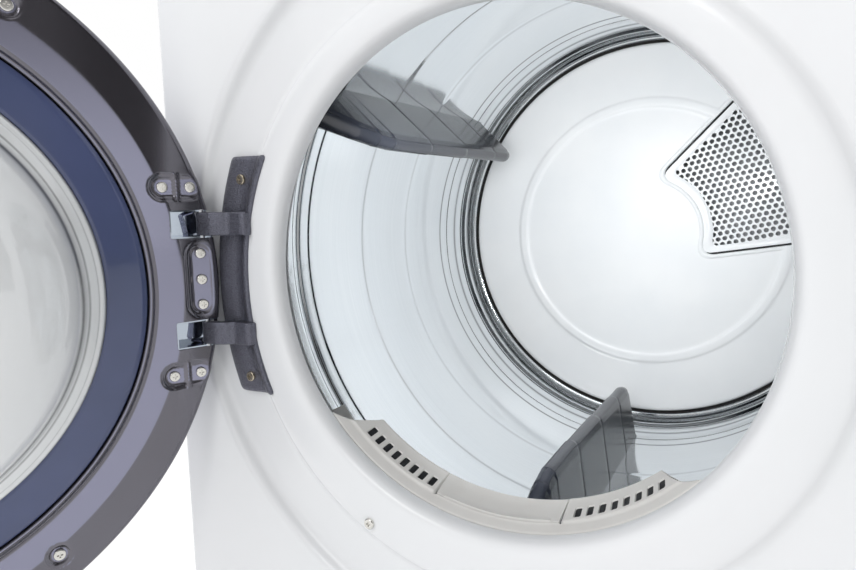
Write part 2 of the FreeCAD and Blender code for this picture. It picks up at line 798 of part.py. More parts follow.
def motor_body():
    case = rod(motor_r, motor_front + 12, motor_rear - 12, motor_x, motor_z)
    caps = [
        rod(motor_r - 6, motor_front, motor_front + 12, motor_x, motor_z),
        rod(motor_r - 6, motor_rear - 12, motor_rear, motor_x, motor_z),
        rod(16, motor_rear, motor_rear + 10, motor_x, motor_z),
    ]
    cradle = block((motor_x - 48, motor_x + 48), (deep(motor_front + 20), deep(motor_rear - 20)),
                   (floor_gap + base_sheet, motor_z - 30))
    tunnel = block((motor_x - 34, motor_x + 34), (deep(motor_front), deep(motor_rear)),
                   (floor_gap + base_sheet + 4, motor_z - motor_r - 4))
    bore = rod(motor_shaft_r + pin_clearance, motor_front - 5, motor_rear + 20, motor_x, motor_z)
    vents = []
    for angle in range(0, 180, 20):
        x, z = polar(motor_r, angle)
        vents.append(block((motor_x + x - 3, motor_x + x + 3),
            (deep(motor_front + 20), deep(motor_front + 50)),
                           (motor_z + z - 3, motor_z + z + 3)))
    return without(joined([case, cradle.cut(tunnel)] + caps), [bore] + vents)


def motor_shaft():
    shaft = rod(motor_shaft_r, blower_front + 12, belt_depth + 14, motor_x, motor_z)
    half = belt_width / 2 + 3
    pulley = rod(motor_pulley_r, belt_depth - half, belt_depth + half, motor_x, motor_z)
    flanges = [
        rod(motor_pulley_r + 4, belt_depth - half - 2, belt_depth - half, motor_x, motor_z),
        rod(motor_pulley_r + 4, belt_depth + half, belt_depth + half + 2, motor_x, motor_z),
    ]
    return joined([shaft, pulley] + flanges)


def idler_arm():
    depth = belt_depth - belt_width / 2 - 8
    length = math.hypot(idler_x - idler_pivot_x, idler_z - idler_pivot_z)
    bar = block((0, length), (deep(depth - 3), deep(depth)), (-6, 6))
    bar = joined([bar, rod(9, depth - 3, depth, 0, 0), rod(8, depth - 3, depth, length, 0)])
    tail = block((-26, 0), (deep(depth - 3), deep(depth)), (-4, 4))
    bar = joined([bar, tail]).cut(rod(5.05, depth - 8, depth + 5, 0, 0))
    bar = turn(bar, math.degrees(math.atan2(idler_z - idler_pivot_z, idler_x - idler_pivot_x)), 0, 0)
    bar = bar.translated(V(idler_pivot_x, 0, idler_pivot_z))
    pin = rod(idler_pin_r, depth, belt_depth + belt_width / 2 + 6, idler_x, idler_z)
    return joined([bar, pin])


def idler_pulley():
    half = belt_width / 2 + 2
    body = tube(idler_r, idler_bore, belt_depth - half, belt_depth + half, idler_x, idler_z)
    flanges = [
        tube(idler_r + 3, idler_bore, belt_depth - half - 1.5, belt_depth - half, idler_x, idler_z),
        tube(idler_r + 3, idler_bore, belt_depth + half, belt_depth + half + 1.5, idler_x, idler_z),
    ]
    return joined([body] + flanges)


def idler_post():
    """Post welded to the base pan that carries the idler arm's pivot pin."""
    depth = belt_depth - belt_width / 2 - 8
    foot = block((idler_pivot_x - 18, idler_pivot_x + 18), (deep(depth - 30), deep(depth - 6)),
                 (floor_gap + base_sheet - 0.5, floor_gap + base_sheet + 3))
    wall = block((idler_pivot_x - 14, idler_pivot_x + 14), (deep(depth - 9), deep(depth - 6)),
                 (floor_gap + base_sheet, idler_pivot_z + 12))
    pin = rod(5.0, depth - 9, depth + 3, idler_pivot_x, idler_pivot_z)
    return joined([foot, wall, pin])


def idler_spring():
    """Tension spring as a stack of rings on a core between the arm's tail and the base pan."""
    angle = math.atan2(idler_z - idler_pivot_z, idler_x - idler_pivot_x)
    x = idler_pivot_x - 26 * math.cos(angle)
    z = idler_pivot_z - 26 * math.sin(angle) - 6
    y = deep(belt_depth - belt_width / 2 - 9.5)
    core = post(1.5, floor_gap + base_sheet, z, x, y)
    rings = []
    count = int((z - floor_gap - base_sheet) / 4)
    for index in range(count):
        rings.append(post(4.0, floor_gap + base_sheet + index * 4,
            floor_gap + base_sheet + index * 4 + 2.4, x, y))
    return joined([core] + rings)


# ================================================================ blower and exhaust
def blower_housing():
    def envelope(inset):
        depth0, depth1 = blower_front + inset, blower_rear - inset
        scroll = rod(blower_r - inset, depth0, depth1, motor_x, motor_z)
        bottom, top = exhaust_z - exhaust_r - 2, exhaust_z + exhaust_r + 2
        left = exhaust_x - exhaust_r - 4
        chute = block((left + inset, motor_x), (deep(depth0), deep(depth1)), (bottom + inset, top - inset))
        return joined([scroll, chute])

    shell = envelope(0).cut(envelope(duct_wall))
    collar = tube(blower_inlet_r + 2, blower_inlet_r, duct_rear + 0.3, blower_front, motor_x, motor_z)
    holes = [
        rod(blower_inlet_r, blower_front - 2, blower_front + 5, motor_x, motor_z),
        rod(motor_shaft_r + 3, blower_rear - 5, blower_rear + 5, motor_x, motor_z),
        rod(exhaust_r - exhaust_wall, blower_rear - 5, blower_rear + 5, exhaust_x, exhaust_z),
    ]
    stand = [
        block((x - 10, x + 10), (deep(blower_front + 8), deep(blower_rear - 8)),
            (floor_gap + base_sheet, exhaust_z - exhaust_r))
        for x in (-80.0, 20.0)
    ]
    return without(joined([shell, collar] + stand), holes)


def blower_wheel():
    depth0, depth1 = blower_front + 9, blower_rear - 14
    back = rod(blower_wheel_r, depth1 - 2, depth1, motor_x, motor_z)
    rim = tube(blower_wheel_r, blower_wheel_r - 10, depth0, depth0 + 2, motor_x, motor_z)
    hub = rod(13, depth0 + 12, depth1, motor_x, motor_z)
    pieces = [back, rim, hub]
    count = 24
    for index in range(count):
        blade = block((blower_wheel_r - 14, blower_wheel_r - 1), (deep(depth0 + 1), deep(depth1 - 1)),
            (-0.8, 0.8))
        blade.rotate(V(blower_wheel_r - 7, 0, 0), Y_AXIS, 28)
        blade = turn(blade, index * 360.0 / count, 0, 0).translated(V(motor_x, 0, motor_z))
        pieces.append(blade)
    return joined(pieces).cut(rod(motor_shaft_r, depth0 - 5, depth1 + 5, motor_x, motor_z))


def exhaust_pipe():
    end = cabinet_depth + exhaust_stub
    pipe = tube(exhaust_r, exhaust_r - exhaust_wall, blower_rear, end, exhaust_x, exhaust_z)
    bead = tube(exhaust_r + 1.6, exhaust_r - 0.2, cabinet_depth + 0.4, cabinet_depth + exhaust_stop,
        exhaust_x, exhaust_z)
    return joined([pipe, bead])


# ================================================================ lint filter
def lint_profile(shift):
    """Top skin of the lint lip as (radius, depth), moved outwards by shift."""
    return [
        (opening_r - 0.5 + shift, throat_depth + 1.3), (opening_r - 2.2 + shift, throat_depth + 5),
        (opening_r - 4.0 + shift, throat_depth + 10), (opening_r - 5.6 + shift, throat_depth + 11.5),
        (opening_r - 13.2 + shift, throat_depth + 38.0), (opening_r - 12.2 + shift, throat_depth + 40.5),
    ]


def lip_ends(shift):
    """Two blocks that trim the lip's slanting ends, moved towards its middle by shift."""
    cutter = Part.makeBox(220, 200, 120, V(120, -100, -shift))
    cutter.rotate(V(0, 0, 0), V(1, 0, 0), -lip_end_slant)
    cutter = turn(cutter.translated(V(0, deep(lip_end_depth), 0)), -90 + lip_end_angle, 0, 0)
    cutter = cutter.translated(V(0, 0, opening_z))
    return [cutter, cutter.mirror(V(0, 0, 0), V(1, 0, 0))]


def lint_housing():
    span = 2 * lint_half_angle
    skin = lint_profile(0)
    skirt_r = bulkhead_hole_r - 2
    front_depth, rear_depth = skin[0][1], skin[-1][1]
    outer = skin + [(skirt_r, rear_depth), (skirt_r, front_depth)]
    inner = [(skin[1][0] + lint_wall, front_depth + lint_wall)]
    inner += [(radius + lint_wall, depth) for radius, depth in skin[2:5]]
    inner += [(skin[4][0] + lint_wall, rear_depth - lint_wall), (skirt_r + 1, rear_depth - lint_wall)]
    inner += [(skirt_r + 1, front_depth + lint_wall)]
    body = without(turned(outer, 0, opening_z, -90 - lint_half_angle, span), lip_ends(0))
    hollow = without(turned(inner, 0, opening_z, -90 - lint_half_angle, span), lip_ends(lint_wall))
    slots = []
    for side in (-1, 1):
        for index in range(slot_count):
            angle = -90 + side * (slot_first_angle + index * slot_pitch_angle)
            slot = block((opening_r - 20, opening_r + 1), (deep(slot_depth_from), deep(slot_depth_to)),
                         (-slot_width / 2, slot_width / 2))
            slots.append(turn(slot, angle, 0, 0).translated(V(0, 0, opening_z)))
    half = handle_half + handle_gap
    window = turned([
        (opening_r - 20, throat_depth + 11.8), (opening_r - 0.5, throat_depth + 11.8),
        (opening_r - 0.5, throat_depth + 45), (opening_r - 20, throat_depth + 45),
    ], 0, opening_z, -110, 40)
    window = window.common(block((-half, half), (deep(0), deep(80)), (200, opening_z)))
    return without(body, [hollow, window] + slots)


def lint_filter():
    """Handle that fills the middle of the lip, with the screen pocket under it."""
    depth0, depth1 = throat_depth + 12.1, throat_depth + 40.5
    top = [(opening_r - 5.8, depth0), (opening_r - 13.0, throat_depth + 38.0), (opening_r - 12.0, depth1)]
    under = [
        (opening_r - 3.0, depth1), (opening_r - 3.0, depth1 - lint_wall),
        (opening_r - 10.0, depth1 - lint_wall), (opening_r - 5.8 + lint_wall, depth0 + 1), (opening_r - 4,
            depth0),
    ]
    handle = turned(top + under, 0, opening_z, -110, 40)
    handle = handle.common(block((-handle_half, handle_half), (deep(0), deep(80)), (200, opening_z)))
    neck = block((-bag_half, bag_half), (deep(depth0), deep(bag_rear)), (bag_bottom + 20, opening_z - 150))
    neck = neck.cut(rod(opening_r - 7.0, 0, 100, 0, opening_z))
    bag = block((-bag_half, bag_half), (deep(bag_front), deep(bag_rear)),
        (bag_bottom, opening_z - opening_r - 4))
    middle = (bag_front + bag_rear) / 2
    windows = []
    columns, rows = 3, 3
    cell_x = (2 * bag_half - 4) / columns
    cell_z = (opening_z - opening_r - 14 - bag_bottom - 4) / rows
    for column in range(columns):
        for row in range(rows):
            x0 = -bag_half + 4 + column * cell_x
            z0 = bag_bottom + 4 + row * cell_z
            for depth in ((bag_front - 1, middle - 0.4), (middle + 0.4, bag_rear + 1)):
                windows.append(block((x0, x0 + cell_x - 4), (deep(depth[0]), deep(depth[1])),
                    (z0, z0 + cell_z - 4)))
    return joined([handle, neck, without(bag, windows)])


def lint_duct():
    outline = [(-108, 306), (108, 306), (200, 170), (200, 58), (60, 58), (-108, 240)]
    inset = [(-106, 310), (106, 310), (106, 305.4), (198, 169.4), (198, 60), (61, 60), (-106, 240.8)]
    shell = prism_y(outline, duct_front, duct_rear)
    hollow = prism_y(inset, duct_front + duct_wall, duct_rear - duct_wall)
    outlet = rod(blower_inlet_r, duct_rear - 5, duct_rear + 5, motor_x, motor_z)
    return without(shell, [hollow, outlet])


# ================================================================ hinge
def front_backing():
    """Everything behind the visible surface of the recess and the land."""
    dish = [
        (rim_r, 0), (rim_r - 4, 1.4), (rim_r - 8, recess_floor - 2.6), (recess_outer_r, recess_floor),
        (recess_inner_r, recess_floor), (recess_inner_r - 5, recess_floor - 2), (land_r, land_depth),
        (0, land_depth), (0, 40), (rim_r, 40),
    ]
    return turned(dish, 0, recess_z)


def hinge_bracket():
    profile = [
        (bracket_inner_r, recess_floor), (bracket_inner_r, 3.0), (bracket_inner_r + 1, 1.8),
        (bracket_inner_r + 4, 1.8), (bracket_inner_r + 5.5, 3.4), (bracket_inner_r + 8, 5.4),
        (bracket_inner_r + 15, 6.0), (bracket_inner_r + 22, 4.4), (bracket_outer_r - 6, 3.6),
        (bracket_outer_r - 1.5, 5.0), (bracket_outer_r, 7.5), (bracket_outer_r, recess_floor),
    ]
    ring = turned(profile, 0, recess_z, 150, 60)
    ring = ring.common(block((-300, 0), (-400, 0), (bracket_bottom, bracket_top)))
    corners = [
        edge for edge in ring.Edges
        if len(edge.Vertexes) == 2 and near(edge.Vertexes[0].Point.x, edge.Vertexes[1].Point.x)
        and near(edge.Vertexes[0].Point.z, edge.Vertexes[1].Point.z) and edge.Length > 2.5
    ]
    ring = ring.makeFillet(3.0, corners)
    arms = []
    for height in slot_heights:
        z = recess_z + height
        outline = [
            (hinge_x, hinge_depth - arm_barrel_r + 0.2), (hinge_x + 15, hinge_depth - 3.6),
            (hinge_x + 24, hinge_depth + 1.4), (hinge_x + 29, hinge_depth + 6.2), (hinge_x + 46,
                hinge_depth + 6.6),
            (hinge_x + 49, hinge_depth + 9.5), (hinge_x + 50, 5.5), (hinge_x + 38, 6.0),
            (hinge_x + 36, 1.0), (hinge_x + 24, 0.8), (hinge_x + 12, hinge_depth + 5.6),
            (hinge_x, hinge_depth + arm_barrel_r - 0.2),
        ]
        arms.append(prism_z(outline, z - arm_half, z + arm_half))
        arms.append(post(arm_barrel_r, z - arm_half, z + arm_half, hinge_x, deep(hinge_depth)))
    whole = joined([ring] + arms)
    bores = [front_backing()]
    bores.append(post(hinge_pin_r + pin_clearance, recess_z - 90, recess_z + 90, hinge_x, deep(hinge_depth)))
    for x, z in bracket_screw_places():
        bores.append(rod(screw_shank_r, -5, 20, x, z))
        bores.append(rod(screw_head_r + 0.6, -5, 5.6, x, z))
    return without(whole, bores)


def bracket_screws():
    return Part.makeCompound([screw(x, 5.6, z, 10) for x, z in bracket_screw_places()])


# ================================================================ door, built closed and then swung open
def door_point(u, k):
    """x and depth of a point given across the door and behind its inner face."""
    return u, door_plane + k


def door_turned(profile, start=0.0, sweep=360.0):
    return turned([(radius, door_plane + k) for radius, k in profile], 0, recess_z, start, sweep)


def hinge_slots():
    cuts = []
    for height in slot_heights:
        cuts.append(block((-door_r - 5, slot_u_inner), (deep(door_plane - slot_deep), deep(door_plane + 5)),
                          (recess_z + height - slot_half, recess_z + height + slot_half)))
    return cuts


def hinge_pin_holes():
    return [post(hinge_pin_r, recess_z + h - slot_half - 7, recess_z + h + slot_half + 7, hinge_x,
        deep(hinge_depth))
            for h in slot_heights]


def door_screw_places():
    """(x, z, depth of the seat) of every screw on the door's inner face."""
    places = [(-282.0, recess_z + v, door_plane - 2.6) for v in (26.6, 1.5, -22.8)]
    for side in (-1, 1):
        places.append((-251.0, recess_z + side * 89, door_plane - 3.4))
        places.append((-276.0, recess_z + side * 89, door_plane - 3.4))
    for angle in (57.0, 122.0, 238.0, 303.0):
        x, z = polar(door_screw_ring, angle)
        places.append((x, recess_z + z, door_plane - 3.4))
    return places


def door_inner_frame():
    wall = 3.0
    shell = door_turned([
        (door_ring_r, -1.0), (door_ring_r + 3, 0), (door_r - 12, 0), (door_r - 5, -1.2), (door_r - 1.2, -4.5),
        (door_r, -9), (door_r, -14), (door_r - wall, -14), (door_r - wall, -9.5), (door_r - 4.5, -6.0),
        (door_r - 12.5, -wall), (door_ring_r + 3, -wall), (door_ring_r + 3, -12), (door_ring_r, -12),
    ])
    block_z = (recess_z - 104, recess_z + 104)
    hinge_block = block((-door_r, -240), (deep(door_plane - 24), deep(door_plane - wall + 0.5)), block_z)
    limit = door_turned([
        (door_ring_r + 2, 0), (door_r - 12, 0), (door_r - 12, -wall), (door_r - 4.0, -7), (door_r - 2.8, -10),
        (door_r - 3.2, -13), (door_r - 12.5, -24), (door_ring_r + 2, -24),
    ])
    hinge_block = hinge_block.common(limit)
    pads = [rod(11, door_plane - 7, door_plane - wall + 0.5, x, z) for x, z, seat in door_screw_places()[7:]]
    frame = joined([shell, hinge_block] + pads)
    stadium = joined([
        block((-296, -268), (deep(door_plane - 2.6), deep(door_plane + 5)), (recess_z - 22, recess_z + 24)),
        rod(14, door_plane - 2.6, door_plane + 5, -282, recess_z - 22),
        rod(14, door_plane - 2.6, door_plane + 5, -282, recess_z + 24),
    ])
    cuts = [stadium] + hinge_slots() + hinge_pin_holes()
    for x, z, seat in door_screw_places()[3:]:
        cuts.append(rod(8.5, seat, door_plane + 5, x, z))
    for x, z, seat in door_screw_places():
        cuts.append(rod(screw_shank_r, seat - 20, seat + 5, x, z))
    latch_hole = block((latch_x - 5.5, latch_x + 5.5), (deep(door_plane - 12), deep(door_plane + 5)),
                       (recess_z - 11.3, recess_z + 11.3))
    return without(frame, cuts + [latch_hole])


def door_outer_frame():
    wall = 3.0
    face = [
        (door_r, -14.4), (door_r - 1.8, -17), (door_r - 9, -25), (door_r - 16, -32), (door_r - 26, -40),
        (door_r - 40, -45), (door_r - 62, -47.4), (door_r - 76, -door_thick), (205, -door_thick), (199, -46),
        (197.5, -42),
    ]
    back = [
        (197.5 + wall, -42), (202, -44), (206, -door_thick + wall), (door_r - 76, -door_thick + wall),
        (door_r - 62, -44.4), (door_r - 41, -42.1), (door_r - 27.8, -37.6), (door_r - 18.2, -29.9),
        (door_r - 11.2, -22.9), (door_r - wall, -14.4),
    ]
    shell = door_turned(face + back)
    pocket = block((door_r - 40, door_r + 4), (deep(door_plane - 40), deep(door_plane - 14.4)),
                   (recess_z - 45, recess_z + 45))
    cup = pocket.common(door_turned([
        (0, -14.4), (door_r - 0.6, -14.4), (door_r - 2.4, -17), (door_r - 10, -25), (door_r - 17, -32),
        (door_r - 26, -39), (0, -39),
    ]))
    bowl = block((door_r - 37, door_r + 6), (deep(door_plane - 37), deep(door_plane - 12)),
        (recess_z - 42, recess_z + 42))
    bowl = rounded(bowl, 6.0, lambda p: near(p.x, door_r - 37))
    return without(joined([shell, cup]), hinge_slots() + [bowl])


def door_tint_ring():
    return door_turned([
        (glass_r + 0.6, -2.2), (glass_r + 3, -1.2), (tint_r - 4, -4.6), (tint_r, -5.6), (tint_r, -8.6),
        (tint_r - 5, -7.6), (glass_r + 3, -4.2), (glass_r + 0.6, -5.2),
    ])


def bowl_curve(radius):
    """Height of the bowl's drum side above the door's inner face."""
    steps = [(glass_r, 2.0), (192.0, 5.0), (186.0, 7.0), (180.0, 12.0), (176.0, 18.0), (171.0, 26.0),
        (160.0, 38.0),
             (140.0, 50.0), (110.0, 59.0), (70.0, 64.5), (0.0, 67.0)]
    for (r1, k1), (r0, k0) in zip(steps, steps[1:]):
        if r0 <= radius <= r1:
            return k0 + (k1 - k0) * (radius - r0) / (r1 - r0)
    return steps[-1][1]


def door_glass():
    wall = 5.0
    stations = [glass_r, 192.0, 186.0, 180.0, 176.0, 171.0, 160.0, 140.0, 110.0, 70.0, 0.0]
    face = [(radius, bowl_curve(radius)) for radius in stations]
    inner = []
    for radius, k in reversed(face[1:]):
        lean = min(1.0, radius / 176.0)
        inner.append((radius * (1 - wall * 0.8 * lean / 180.0), k - wall * (1.25 - 0.35 * lean)))
    return door_turned(face + inner + [(188.0, -6.0), (glass_r, -6.0)])


def door_front_window():
    return door_turned([
        (0, -door_thick - 2), (120, -door_thick - 1), (180, -door_thick + 1.5), (196.5, -door_thick + 5),
        (196.5, -39), (193, -39), (178, -door_thick + 5), (120, -door_thick + 3), (0, -door_thick + 2),
    ])


def hinge_slot_liners():
    liners = []
    wall = 1.5
    for height in slot_heights:
        z = recess_z + height
        outer = block((-door_r + 4, slot_u_inner), (deep(door_plane - slot_deep), deep(door_plane - 1.5)),
                      (z - slot_half, z + slot_half))
        inner = block((-door_r - 5, slot_u_inner - wall),
            (deep(door_plane - slot_deep + wall), deep(door_plane + 5)),
                      (z - slot_half + wall, z + slot_half - wall))
        outer = outer.common(door_turned([
            (0, 0), (door_r - 6, 0), (door_r - 2.4, -5), (door_r - 1.5, -14), (door_r - 10.5, -25), (0, -25),
        ]))
        liners.append(outer.cut(inner).cut(post(hinge_pin_r, z - 30, z + 30, hinge_x, deep(hinge_depth))))
    return Part.makeCompound(liners)


def hinge_pins():
    reach = slot_half + 6
    return Part.makeCompound([
        post(hinge_pin_r, recess_z + h - reach, recess_z + h + reach, hinge_x,
            deep(hinge_depth)) for h in slot_heights
    ])


def door_screws():
    return Part.makeCompound([flipped_screw(x, seat, z) for x, z, seat in door_screw_places()])


def flipped_screw(x, seat, z):
    """Screw driven towards -Y, with its head on the drum side of the seat."""
    piece = screw(x, 0, z, 9)
    piece = piece.mirror(V(0, deep(0), 0), Y_AXIS)
    return piece.translated(V(0, seat, 0))


def door_latch_hook():
    plate = block((latch_x - 5, latch_x + 5), (deep(door_plane - 12), deep(door_plane + 18)),
        (recess_z - 11, recess_z + 11))
    notch = block((latch_x - 6, latch_x + 6), (deep(door_plane + 6), deep(door_plane + 13)),
        (recess_z - 6, recess_z + 6))
    return rounded(plate, 2.0, lambda p: near(p.y, deep(door_plane + 18))).cut(notch)


def swung(shape):
    """Carry a piece of the closed door to where the open door holds it."""
    piece = shape.copy()
    piece.rotate(V(hinge_x, deep(hinge_depth), 0), Z_AXIS, -open_angle)
    return piece


# ================================================================ latch, switch, terminal cover, feet, screws
def latch_catch():
    outer = block((latch_x - 11, latch_x + 11), (deep(recess_floor - 1.2), deep(34)),
        (recess_z - 20, recess_z + 20))
    lip = block((latch_x - 14, latch_x + 13.5), (deep(recess_floor - 2.4), deep(recess_floor)),
        (recess_z - 23, recess_z + 23))
    mouth = block((latch_x - 6.5, latch_x + 6.5), (deep(0), deep(31)), (recess_z - 13, recess_z + 13))
    return joined([outer, lip]).cut(mouth)


def switch_plunger():
    tip = rod(3.9, door_plane + 0.4, 24, latch_x, recess_z - 42)
    tip = rounded(tip, 1.5, lambda p: near(p.y, deep(door_plane + 0.4)))
    return joined([tip, rod(6.0, recess_floor + 5.5, recess_floor + 7.5, latch_x, recess_z - 42)])


def terminal_cover():
    outer = block((-296, -204), (rear, rear + 22), (786, 874))
    outer = rounded(outer, 4.0, lambda p: near(p.y, rear + 22))
    inner = block((-294.5, -205.5), (rear - 1, rear + 20.5), (786 + inlet_wall, 872.5))
    inlet = post(inlet_r, 780, 795, -250, rear + 11)
    return outer.cut(inner).cut(inlet)


def foot_place(x_side, y_side):
    return x_side * (half_width - foot_inset_x), y_side * (cabinet_depth / 2 - foot_inset_y)


def levelling_foot(x_side, y_side):
    x, y = foot_place(x_side, y_side)
    pad = post(foot_pad_r, 0, foot_pad_height, x, y)
    corners = [V(x + 8.5 * math.cos(math.radians(a)), y + 8.5 * math.sin(math.radians(a)), foot_pad_height)
               for a in range(0, 360, 60)]
    nut = Part.Face(Part.makePolygon(corners + [corners[0]])).extrude(V(0, 0, 7))
    stem = post(foot_stem_r, foot_pad_height + 7, foot_stem_top, x, y)
    return joined([pad, nut, stem])


def cabinet_screws():
    pieces = [screw(x, land_depth, z) for x, z in recess_screw_places()]
    for x, z in rear_screw_places():
        piece = screw(x, 0, z).mirror(V(0, deep(0), 0), Y_AXIS)
        pieces.append(piece.translated(V(0, cabinet_depth, 0)))
    return Part.makeCompound(pieces)


# ================================================================ build everything
def build():
    os.makedirs("parts", exist_ok=True)

    save("left_side_panel", side_panel(-1))
    save("right_side_panel", side_panel(1))
    save("rear_panel", rear_panel())
    save("base_pan", base_pan())
    save("top_panel", top_panel())
    save("front_panel", front_panel())
    save("cabinet_screws", cabinet_screws())

    save("control_fascia", control_fascia())
    save("display_window", display_window())
    save("control_board", control_board())
    save("cycle_knob", cycle_knob())
    save("power_button", push_button(power_x))
    save("start_button", push_button(start_x))

    save("front_bulkhead", front_bulkhead())
    save("rear_bulkhead", rear_bulkhead())
    save("vent_grille", vent_grille())
    save("front_felt_seal", felt_seal(drum_r - running_gap, flange_r, drum_front + 1, flange_end - 2))
    save("rear_felt_seal", felt_seal(drum_rear_r - running_gap, rear_disc_r, rear_disc_depth + 7,
        rear_disc_depth + 19))
    save("inlet_duct", inlet_duct())
    save("heater_housing", heater_housing())
    save("heater_coil", heater_coil())

    save("drum_shell", drum_shell())
    space = drum_space()
    for index, angle in enumerate(lifter_angles):
        save("lifter_%d" % (index + 1), lifter(angle, space))

    for name, (x, z) in zip(("roller_front_left", "roller_front_right"), roller_places(drum_r)):
        save(name, roller(x, z, front_roller_depth))
    for name, (x, z) in zip(("roller_rear_left", "roller_rear_right"), roller_places(drum_rear_r + 2)):
        save(name, roller(x, z, rear_roller_depth))
    save("roller_shafts", roller_shafts())
    save("drive_belt", drive_belt())
    save("motor_body", motor_body())
    save("motor_shaft", motor_shaft())
    save("idler_arm", idler_arm())
    save("idler_pulley", idler_pulley())
    save("idler_spring", idler_spring())

    save("blower_housing", blower_housing())
    save("blower_wheel", blower_wheel())
    save("exhaust_pipe", exhaust_pipe())
    save("lint_duct", lint_duct())
    save("lint_housing", lint_housing())
    save("lint_filter", lint_filter())

    save("hinge_bracket", hinge_bracket())
    save("hinge_bracket_screws", bracket_screws())
    save("latch_catch", latch_catch())
    save("door_switch_plunger", switch_plunger())

    save("door_inner_frame", swung(door_inner_frame()))
    save("door_outer_frame", swung(door_outer_frame()))
    save("door_tint_ring", swung(door_tint_ring()))
    save("door_glass", swung(door_glass()))
    save("door_front_window", swung(door_front_window()))
    save("hinge_slot_liners", swung(hinge_slot_liners()))
    save("hinge_pins", swung(hinge_pins()))
    save("door_screws", swung(door_screws()))
    save("door_latch_hook", swung(door_latch_hook()))

    save("terminal_cover", terminal_cover())
    for name, (x_side, y_side) in feet.items():
        save(name, levelling_foot(x_side, y_side))


build()
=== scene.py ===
import json
import math

import bmesh
import bpy
import numpy as np
from mathutils import Matrix, Vector


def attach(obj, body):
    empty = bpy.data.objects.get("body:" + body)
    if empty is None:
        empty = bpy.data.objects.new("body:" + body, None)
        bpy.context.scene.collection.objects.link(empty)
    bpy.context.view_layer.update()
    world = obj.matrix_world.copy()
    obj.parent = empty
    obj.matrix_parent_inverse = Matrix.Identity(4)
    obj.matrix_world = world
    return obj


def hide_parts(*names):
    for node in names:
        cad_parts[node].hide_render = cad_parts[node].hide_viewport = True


# Front-loading tumble dryer with its door open.
# Sizes below are in millimetres in the CAD frame: x right, y back, z up, origin on the floor.
# "depth" is the distance behind the front face of the cabinet, which stands at y = -360.

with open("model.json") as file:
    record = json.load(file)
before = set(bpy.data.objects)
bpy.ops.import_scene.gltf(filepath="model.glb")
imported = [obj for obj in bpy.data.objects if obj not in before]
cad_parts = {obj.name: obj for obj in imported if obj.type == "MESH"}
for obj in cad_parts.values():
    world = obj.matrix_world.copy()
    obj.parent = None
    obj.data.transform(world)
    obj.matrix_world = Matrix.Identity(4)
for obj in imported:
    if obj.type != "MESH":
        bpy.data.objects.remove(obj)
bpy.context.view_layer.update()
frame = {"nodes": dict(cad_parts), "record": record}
cadNodes = frame["nodes"]
nodeBody = {n: b for b, members in frame["record"]["behaviour"]["bodies"].items() for n in members}
frontY = -360.0
print("frame loaded:", len(cadNodes), "nodes")


# ------------------------------------------------------------ camera
view = {
    "place": (202.14, -800.43, 582.44),
    "yaw": 0.509,      # radians to the left of straight back
    "pitch": 0.132,    # radians below level
    "roll": -0.015,
    "lens": 26.78,
}


def placeCamera(s):
    # forward = level heading turned left by yaw and down by pitch; up leans by roll
    forward = Vector((
        -math.sin(s["yaw"]) * math.cos(s["pitch"]),
        math.cos(s["yaw"]) * math.cos(s["pitch"]),
        -math.sin(s["pitch"]),
    ))
    right = Vector((math.cos(s["yaw"]), math.sin(s["yaw"]), 0))
    up = right.cross(forward)
    leanRight = math.cos(s["roll"]) * right + math.sin(s["roll"]) * up
    leanUp = -math.sin(s["roll"]) * right + math.cos(s["roll"]) * up
    data = bpy.data.cameras.new("viewCamera")
    data.sensor_width = 36
    data.lens = s["lens"]
    data.clip_start = 0.01
    data.clip_end = 50
    camera = bpy.data.objects.new("viewCamera", data)
    bpy.context.scene.collection.objects.link(camera)
    turn = Matrix((leanRight, leanUp, -forward)).transposed().to_4x4()
    camera.matrix_world = Matrix.Translation(Vector(s["place"]) / 1000) @ turn
    bpy.context.scene.camera = camera
    bpy.context.scene.view_settings.view_transform = "Standard"


placeCamera(view)
print("camera placed")


# ------------------------------------------------------------ node and colour helpers
def linear(hexText):
    # sRGB hex to linear RGBA
    values = [int(hexText[i:i + 2], 16) / 255 for i in (1, 3, 5)]
    return [v / 12.92 if v <= 0.04045 else ((v + 0.055) / 1.055) ** 2.4 for v in values] + [1.0]


def addNode(tree, kind, settings=None, inputs=None):
    # a node of this kind; settings are its properties, inputs are socket values or (node, socket) links
    made = tree.nodes.new(kind)
    for key, value in (settings or {}).items():
        setattr(made, key, value)
    for key, value in (inputs or {}).items():
        if isinstance(value, tuple) and len(value) == 2 and isinstance(value[0], bpy.types.Node):
            tree.links.new(value[0].outputs[value[1]], made.inputs[key])
        else:
            made.inputs[key].default_value = value
    return made


def newFinish(name):
    # empty material with an output; returns it and its tree
    material = bpy.data.materials.new(name)
    material.use_nodes = True
    material.node_tree.nodes.clear()
    return material, material.node_tree


def objectPoint(tree, scale=(1, 1, 1)):
    # Object coordinates stretched by scale, in metres
    where = addNode(tree, "ShaderNodeTexCoord")
    return addNode(tree, "ShaderNodeMapping", {}, {"Vector": (where, "Object"), "Scale": scale})


def perMetre(millimetres):
    # texture scale whose features are about this many millimetres across
    return 1000.0 / millimetres


def mixedColour(tree, amount, low, high, start=0.35, end=0.65):
    # two colours blended by a 0..1 value between start and end
    ramp = addNode(tree, "ShaderNodeValToRGB", {}, {"Fac": amount})
    ramp.color_ramp.elements[0].position = start
    ramp.color_ramp.elements[0].color = linear(low)
    ramp.color_ramp.elements[1].position = end
    ramp.color_ramp.elements[1].color = linear(high)
    return ramp


def spread(tree, amount, low, high):
    # a 0..1 value carried to low..high
    return addNode(tree, "ShaderNodeMapRange", {}, {"Value": amount, "To Min": low, "To Max": high})


def finishBody(tree, shader):
    addNode(tree, "ShaderNodeOutputMaterial", {}, {"Surface": (shader, "BSDF")})


